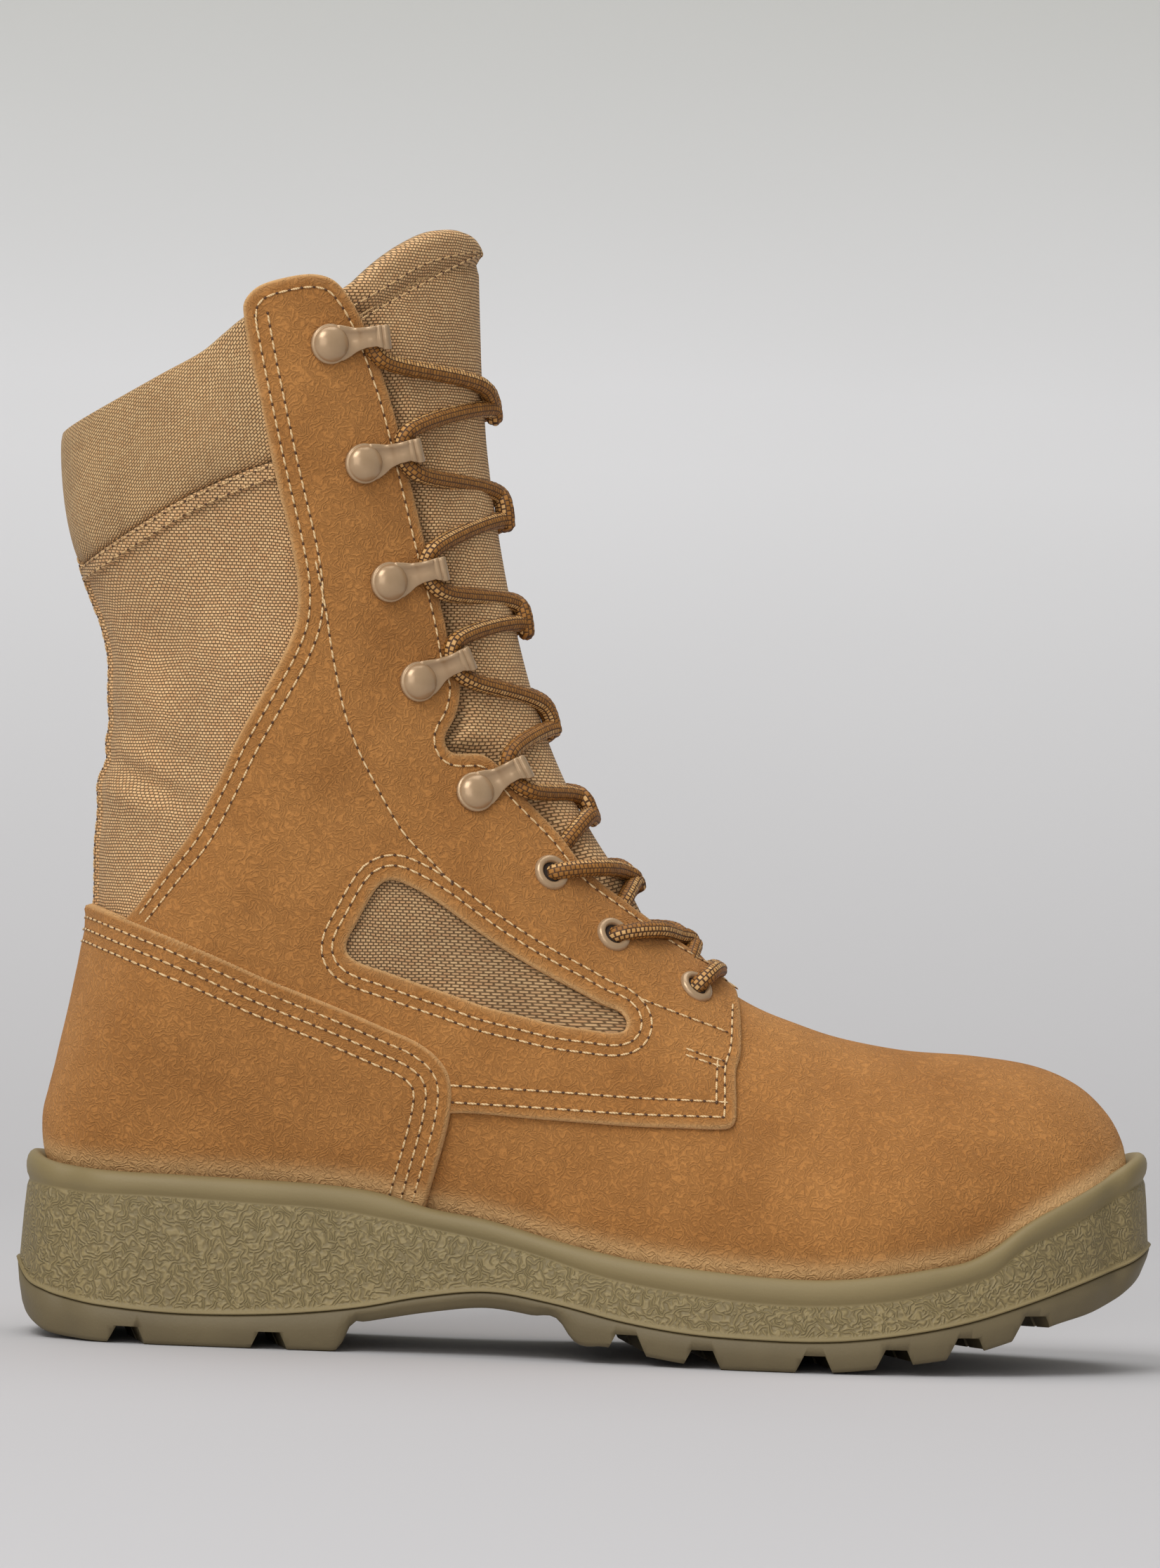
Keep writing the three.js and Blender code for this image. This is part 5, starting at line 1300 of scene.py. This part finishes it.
# ---------------------------------------------------------------- lace
# One round braided cord with a dark sheath and pale tracer yarns, held all the way. It runs over the
# facings into each eyelet, under them to the next crossing, and behind each hook's arm.
LACE_RADIUS, LACE_SIDES, LACE_STEP = 2.2, 24, 0.5
BRAID_STRANDS, BRAID_PITCH, BRAID_DEPTH = 6, 4.2, 0.13
APEXES = [
    # where the lace crosses over the ridge of the tongue
    (128.2, 111.6), (113.0, 128.6), (100.0, 146.4), (89.6, 169.9), (82.4, 197.6), (76.4, 226.4),
    (72.2, 255.4)]
LACE_BAR = (135.4, 103.6)
APEX_LIFT, APEX_APART = 2.5, 2.3
HOOK_REACH = 15  # from a hook's rivet to where the lace comes off its arm


def off_last(x, z, side, lift):
    """A point off the last at a side-view place."""
    return boot_form(*on_side([(x, z)], side).T, lift)[0]


def between(a, b, share):
    """A side-view place between two others."""
    return (a[0] + (b[0] - a[0]) * share, a[1] + (b[1] - a[1]) * share)


def turning_place(number):
    """Where the lace comes off an eyelet or a hook, counted from the toe, in the side view."""
    if number < len(EYELETS_AT):
        return np.array(EYELETS_AT[number])
    x, z, turn = HOOKS_AT[number - len(EYELETS_AT)]
    angle = math.radians(turn)
    return np.array((x, z)) + HOOK_REACH * np.array([math.cos(angle), math.sin(angle)])


def lace_run(first_side):
    """The path of one half of the lace, from the bar over the toe's eyelets up to a top hook."""
    side = first_side
    down_ridge = unit(np.array([0.42, 0.0, -1.0]))
    path = [boot_form(*on_side([LACE_BAR], -1).T, 2.6)[0] * (1, 0, 1)]
    apex = LACE_BAR
    last_hook = len(EYELETS_AT) + len(HOOKS_AT) - 1
    for number in range(last_hook + 1):
        if number < len(EYELETS_AT):
            # Over the facing, into the eyelet, and back under the facing.
            hole = EYELETS_AT[number]
            path.append(off_last(*between(apex, hole, 0.5), side, 4.3))
            path.append(off_last(*between(apex, hole, 0.8), side, 4.0))
            path.append(off_last(*between(apex, hole, 0.97), side, 1.8))
            path.append(off_last(*hole, side, -2.0))
            path.append(off_last(*between(hole, APEXES[number], 0.3), side, -3.6))
            path.append(off_last(*between(hole, APEXES[number], 0.6), side, 0.0))
        else:
            # Behind the hook's arm, from below it to above it.
            x, z, turn = HOOKS_AT[number - len(EYELETS_AT)]
            at, arm, across, out = seat(x, z, side, turn, QUARTER_LIFT)
            path.append(at + 13.6 * arm - 5.6 * across + 1.0 * out)
            path.append(at + 11.6 * arm - 2.6 * across + 0.8 * out)
            path.append(at + 11.2 * arm + 0.2 * across + 0.8 * out)
            if number == last_hook:
                path.append(at + 10.6 * arm + 1.2 * across - 0.6 * out)
                break
            path.append(at + 11.6 * arm + 2.8 * across + 0.8 * out)
            path.append(at + 13.8 * arm + 5.2 * across + 1.0 * out)
        # Over the tongue's ridge, where this half lies beside the other, and down to the next place.
        apex = APEXES[number]
        way = 1 if side == first_side else -1
        lift = APEX_LIFT - 0.2 + (0.35 if first_side < 0 else -0.35) * way
        path.append(off_last(*between(turning_place(number), apex, 0.8), side, lift))
        shift = APEX_APART / 2 * (1 if side < 0 else -1)
        peak = boot_form(*on_side([apex], -1).T, APEX_LIFT)[0]
        path.append(peak * (1, 0, 1) + shift * down_ridge)
        side = -side
        path.append(off_last(*between(apex, turning_place(number + 1), 0.2), side, lift))
    return np.array(path)


def cord_mesh(name, path):
    """A braided round cord along a path. Its map runs round the cord and along it, in metres."""
    line = smooth_line(path, LACE_STEP)
    for _ in range(2):
        line[1:-1] = 0.5 * line[1:-1] + 0.25 * (line[2:] + line[:-2])
    ahead = unit(np.gradient(line, axis=0))
    turn = np.arange(LACE_SIDES) * 2 * np.pi / LACE_SIDES
    side = unit(np.cross(ahead[0], (0.0, 1.0, 0.3)))
    run = np.arange(len(line)) * LACE_STEP
    rings = []
    for k, (point, forward) in enumerate(zip(line, ahead)):
        side = unit(side - forward * (side @ forward))
        other = np.cross(forward, side)
        lay = 2 * np.pi * run[k] / BRAID_PITCH
        plait = np.maximum(np.sin(BRAID_STRANDS * turn + lay), np.sin(BRAID_STRANDS * turn - lay))
        radius = (LACE_RADIUS + BRAID_DEPTH * plait)[:, None]
        rings.append(point + radius * (np.cos(turn)[:, None] * side + np.sin(turn)[:, None] * other))
    piece = mesh_piece(name, np.concatenate(rings), ringed(rings) + end_caps(rings))
    corners = corner_points(piece)
    across_share = (corners % LACE_SIDES) / LACE_SIDES
    # The last face of each ring closes it, so its far corners count as one whole turn.
    first = np.zeros(len(piece.data.polygons), int)
    piece.data.polygons.foreach_get("loop_start", first)
    sizes = np.zeros(len(piece.data.polygons), int)
    piece.data.polygons.foreach_get("loop_total", sizes)
    owner = np.repeat(np.arange(len(first)), sizes)
    wraps = np.zeros(len(first), bool)
    np.maximum.at(wraps, owner, across_share > 0.9)
    across_share = np.where(wraps[owner] & (across_share < 0.1), across_share + 1, across_share)
    around = 2 * math.pi * LACE_RADIUS
    map_threads(piece, np.column_stack([run[corners // LACE_SIDES], across_share * around]))
    face_out(piece)
    return piece


laces = [cord_mesh(f"lace_{name}_half", lace_run(side)) for name, side in (("outer", -1), ("inner", 1))]
cord, tree, output = new_finish("braided_polyester_cord_brown")
# Braided polyester: dark brown sheath yarns with tan tracer yarns that surface as rows of small beads.
# Each bead is 1.15 mm long, in ten rows round the cord, of which four carry the tracer.
TRACER_LENGTH, TRACER_ROW = 1.15, 2 * math.pi * LACE_RADIUS / 10
threads = add(tree, "ShaderNodeUVMap", {"uv_map": "threads"})
scaled = add(tree, "ShaderNodeMapping", inputs={
    "Vector": threads.outputs[0], "Scale": (1000, 1000, 1000)})
beads = add(tree, "ShaderNodeTexBrick", {"offset": 0.5}, {
    "Vector": scaled.outputs[0], "Color1": linear("#c08a48"), "Color2": linear("#dcae70"),
    "Mortar": linear("#4a2c0e"), "Scale": 1.0, "Mortar Size": 0.24, "Mortar Smooth": 0.5,
    "Brick Width": TRACER_LENGTH, "Row Height": TRACER_ROW})
apart = add(tree, "ShaderNodeSeparateXYZ", inputs={"Vector": scaled.outputs[0]})
row_share = add(tree, "ShaderNodeMath", {"operation": "DIVIDE"}, {0: apart.outputs["Y"], 1: TRACER_ROW * 5})
row_wave = add(tree, "ShaderNodeMath", {"operation": "FRACT"}, {0: row_share.outputs[0]})
tracer = add(tree, "ShaderNodeMath", {"operation": "LESS_THAN"}, {0: row_wave.outputs[0], 1: 0.4})
base = add(tree, "ShaderNodeTexBrick", {"offset": 0.5}, {
    "Vector": scaled.outputs[0], "Color1": linear("#8e5c22"), "Color2": linear("#a8712e"),
    "Mortar": linear("#44280c"), "Scale": 1.0, "Mortar Size": 0.2, "Mortar Smooth": 0.8,
    "Brick Width": TRACER_LENGTH, "Row Height": TRACER_ROW})
mixed = add(tree, "ShaderNodeMix", {"data_type": "RGBA"}, {
    "Factor": tracer.outputs[0], 6: base.outputs["Color"], 7: beads.outputs["Color"]})
bead_relief = add(tree, "ShaderNodeBump", {"invert": True}, {
    "Height": beads.outputs["Fac"], "Strength": 0.6, "Distance": 0.0003})
shader = add(tree, "ShaderNodeBsdfPrincipled", inputs={
    "Base Color": mixed.outputs[2], "Roughness": 0.6, "Specular IOR Level": 0.4,
    "Normal": bead_relief.outputs[0]})
tree.links.new(shader.outputs[0], output.inputs["Surface"])
for lace in laces:
    lace.data.materials.append(cord)
    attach(lace, "root")
    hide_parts("lace_bar", *[f"lace_crossing_{i}" for i in range(1, 8)])

# ---------------------------------------------------------------- stitches
# Bonded polyester thread, 0.6 mm thick, sewn by machine: even stitches that lie a little proud of the
# leather, with a dark needle hole between each and the next, its dark painted as shade.
STITCH_PITCH, STITCH_LENGTH, THREAD_WIDTH, HOLE_LENGTH = 3.4, 2.7, 0.62, 0.85


def seam_lines(name, rows):
    """The seam rows as plain edges, with the surface's direction at every point."""
    points, normals, edges, base = [], [], [], 0
    for line, lift in rows:
        if len(line) < 3:
            continue
        line = evenly(line, 0.8, last_form(*line.T))
        pu, pv = slopes_of_form(*line.T)
        points.append(boot_form(*line.T, lift))
        normals.append(unit(np.cross(pv, pu)))
        edges += [(base + i, base + i + 1) for i in range(len(line) - 1)]
        base += len(line)
    mesh = bpy.data.meshes.new(name)
    mesh.from_pydata((np.concatenate(points) * MM).tolist(), edges, [])
    face = mesh.attributes.new("surface_direction", "FLOAT_VECTOR", "POINT")
    face.data.foreach_set("vector", np.concatenate(normals).astype(np.float32).ravel())
    piece = bpy.data.objects.new(name, mesh)
    bpy.context.scene.collection.objects.link(piece)
    return piece


stitching = bpy.data.node_groups.new("row_of_stitches", "GeometryNodeTree")
for label, kind in (
    ("Seam", "Geometry"), ("Pitch", "Float"), ("Length", "Float"), ("Width", "Float"), ("Height", "Float"),
    ("Odd Ones", "Int"), ("Finish", "Material"),
):
    stitching.interface.new_socket(label, in_out="INPUT", socket_type="NodeSocket" + kind)
stitching.interface.new_socket("Stitches", in_out="OUTPUT", socket_type="NodeSocketGeometry")
given = add(stitching, "NodeGroupInput")
result = add(stitching, "NodeGroupOutput")
curve = add(stitching, "GeometryNodeMeshToCurve", inputs={"Mesh": given.outputs["Seam"]})
half_pitch = add(stitching, "ShaderNodeMath", {"operation": "MULTIPLY"}, {
    0: given.outputs["Pitch"], 1: 0.5})
spaced = add(stitching, "GeometryNodeResampleCurve", {"mode": "LENGTH"}, {
    "Curve": curve.outputs[0], "Length": half_pitch.outputs[0]})
number = add(stitching, "GeometryNodeInputIndex")
parity = add(stitching, "ShaderNodeMath", {"operation": "MODULO"}, {0: number.outputs[0], 1: 2.0})
chosen = add(stitching, "FunctionNodeCompare", {"data_type": "FLOAT", "operation": "EQUAL"}, {
    "A": parity.outputs[0], "B": given.outputs["Odd Ones"], "Epsilon": 0.1})
travel = add(stitching, "GeometryNodeInputTangent")
outward = add(stitching, "GeometryNodeInputNamedAttribute", {"data_type": "FLOAT_VECTOR"}, {
    "Name": "surface_direction"})
turned = add(stitching, "FunctionNodeAxesToRotation", {"primary_axis": "X", "secondary_axis": "Z"}, {
    "Primary Axis": travel.outputs[0], "Secondary Axis": outward.outputs[0]})
grain_of_rice = add(stitching, "GeometryNodeMeshUVSphere", inputs={
    "Segments": 8, "Rings": 6, "Radius": 0.5})
size = add(stitching, "ShaderNodeCombineXYZ", inputs={
    "X": given.outputs["Length"], "Y": given.outputs["Width"], "Z": given.outputs["Height"]})
laid = add(stitching, "FunctionNodeEulerToRotation", inputs={"Euler": (0.0, math.pi / 2, 0.0)})
stood = add(stitching, "GeometryNodeTransform", inputs={
    "Geometry": grain_of_rice.outputs["Mesh"], "Rotation": laid.outputs[0]})
shaped = add(stitching, "GeometryNodeTransform", inputs={
    "Geometry": stood.outputs[0], "Scale": size.outputs[0]})
smooth = add(stitching, "GeometryNodeSetShadeSmooth", inputs={"Geometry": shaped.outputs[0]})
copies = add(stitching, "GeometryNodeInstanceOnPoints", inputs={
    "Points": spaced.outputs[0], "Selection": chosen.outputs[0], "Instance": smooth.outputs[0],
    "Rotation": turned.outputs[0]})
real = add(stitching, "GeometryNodeRealizeInstances", inputs={"Geometry": copies.outputs[0]})
finished = add(stitching, "GeometryNodeSetMaterial", inputs={
    "Geometry": real.outputs[0], "Material": given.outputs["Finish"]})
stitching.links.new(finished.outputs[0], result.inputs[0])


def grown(piece, tree, values):
    """Runs a Geometry Nodes tree on a piece with named values, and keeps the result as a plain mesh."""
    maker = piece.modifiers.new("maker", "NODES")
    maker.node_group = tree
    for socket in tree.interface.items_tree:
        if socket.in_out == "INPUT" and socket.name in values:
            maker[socket.identifier] = values[socket.name]
    made = bpy.data.meshes.new_from_object(piece.evaluated_get(bpy.context.evaluated_depsgraph_get()))
    piece.modifiers.clear()
    piece.data = made
    return piece


def thread_finish(name, light, dark):
    """Twisted sewing thread: two tones in fine slanting bands."""
    material, tree, output = new_finish(name)
    place = add(tree, "ShaderNodeTexCoord")
    ply = add(tree, "ShaderNodeTexWave", {"bands_direction": "DIAGONAL"}, {
        "Vector": place.outputs["Object"], "Scale": 700.0, "Distortion": 1.0})
    tint = add(tree, "ShaderNodeMix", {"data_type": "RGBA"}, {
        "Factor": ply.outputs["Fac"], 6: linear(dark), 7: linear(light)})
    shader = add(tree, "ShaderNodeBsdfPrincipled", inputs={
        "Base Color": tint.outputs[2], "Roughness": 0.6})
    tree.links.new(shader.outputs[0], output.inputs["Surface"])
    return material


# Cream bonded thread on the leather, and tan on the nylon. A needle hole is a small dark bead: painted
# shade in the hole.
cream_thread = thread_finish("bonded_polyester_thread_cream", "#ecd0a0", "#c99e68")
tan_thread = thread_finish("bonded_polyester_thread_tan", "#e0bb86", "#a07a4c")
needle_hole_shade = thread_finish("painted_shade_in_needle_hole", "#5a3515", "#3c220c")
NYLON_ROWS = [(aside(tape_line, share * 1.5, closed=False), 0.8) for share in (-1, 1)]
NYLON_ROWS += [(aside(strip_line, share * 3.0, closed=False), 0.8) for share in (-1, 1)]
binding = both_sides(smooth_line(BINDING_SEAM)[::-1], False)
NYLON_ROWS += [(line, float(np.median(tongue_lift(last_form(*line.T)))))
               for line in (aside(binding, 0.3, closed=False), aside(binding, 3.6, closed=False))]
for name, rows, finish, odd, length, width, height in (
    ("leather_stitches", SEAM_ROWS, cream_thread, 0, STITCH_LENGTH, THREAD_WIDTH, 0.55),
    ("leather_needle_hole_shade", SEAM_ROWS, needle_hole_shade, 1, HOLE_LENGTH, 0.7, 0.35),
    ("nylon_stitches", NYLON_ROWS, tan_thread, 0, STITCH_LENGTH, 0.6, 0.5),
    ("nylon_needle_hole_shade", NYLON_ROWS, needle_hole_shade, 1, HOLE_LENGTH, 0.5, 0.3),
):
    stitches = grown(seam_lines(name, rows), stitching, {
        "Pitch": STITCH_PITCH * MM, "Length": length * MM, "Width": width * MM, "Height": height * MM,
        "Odd Ones": odd, "Finish": finish})
    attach(stitches, "root")

low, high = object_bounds()
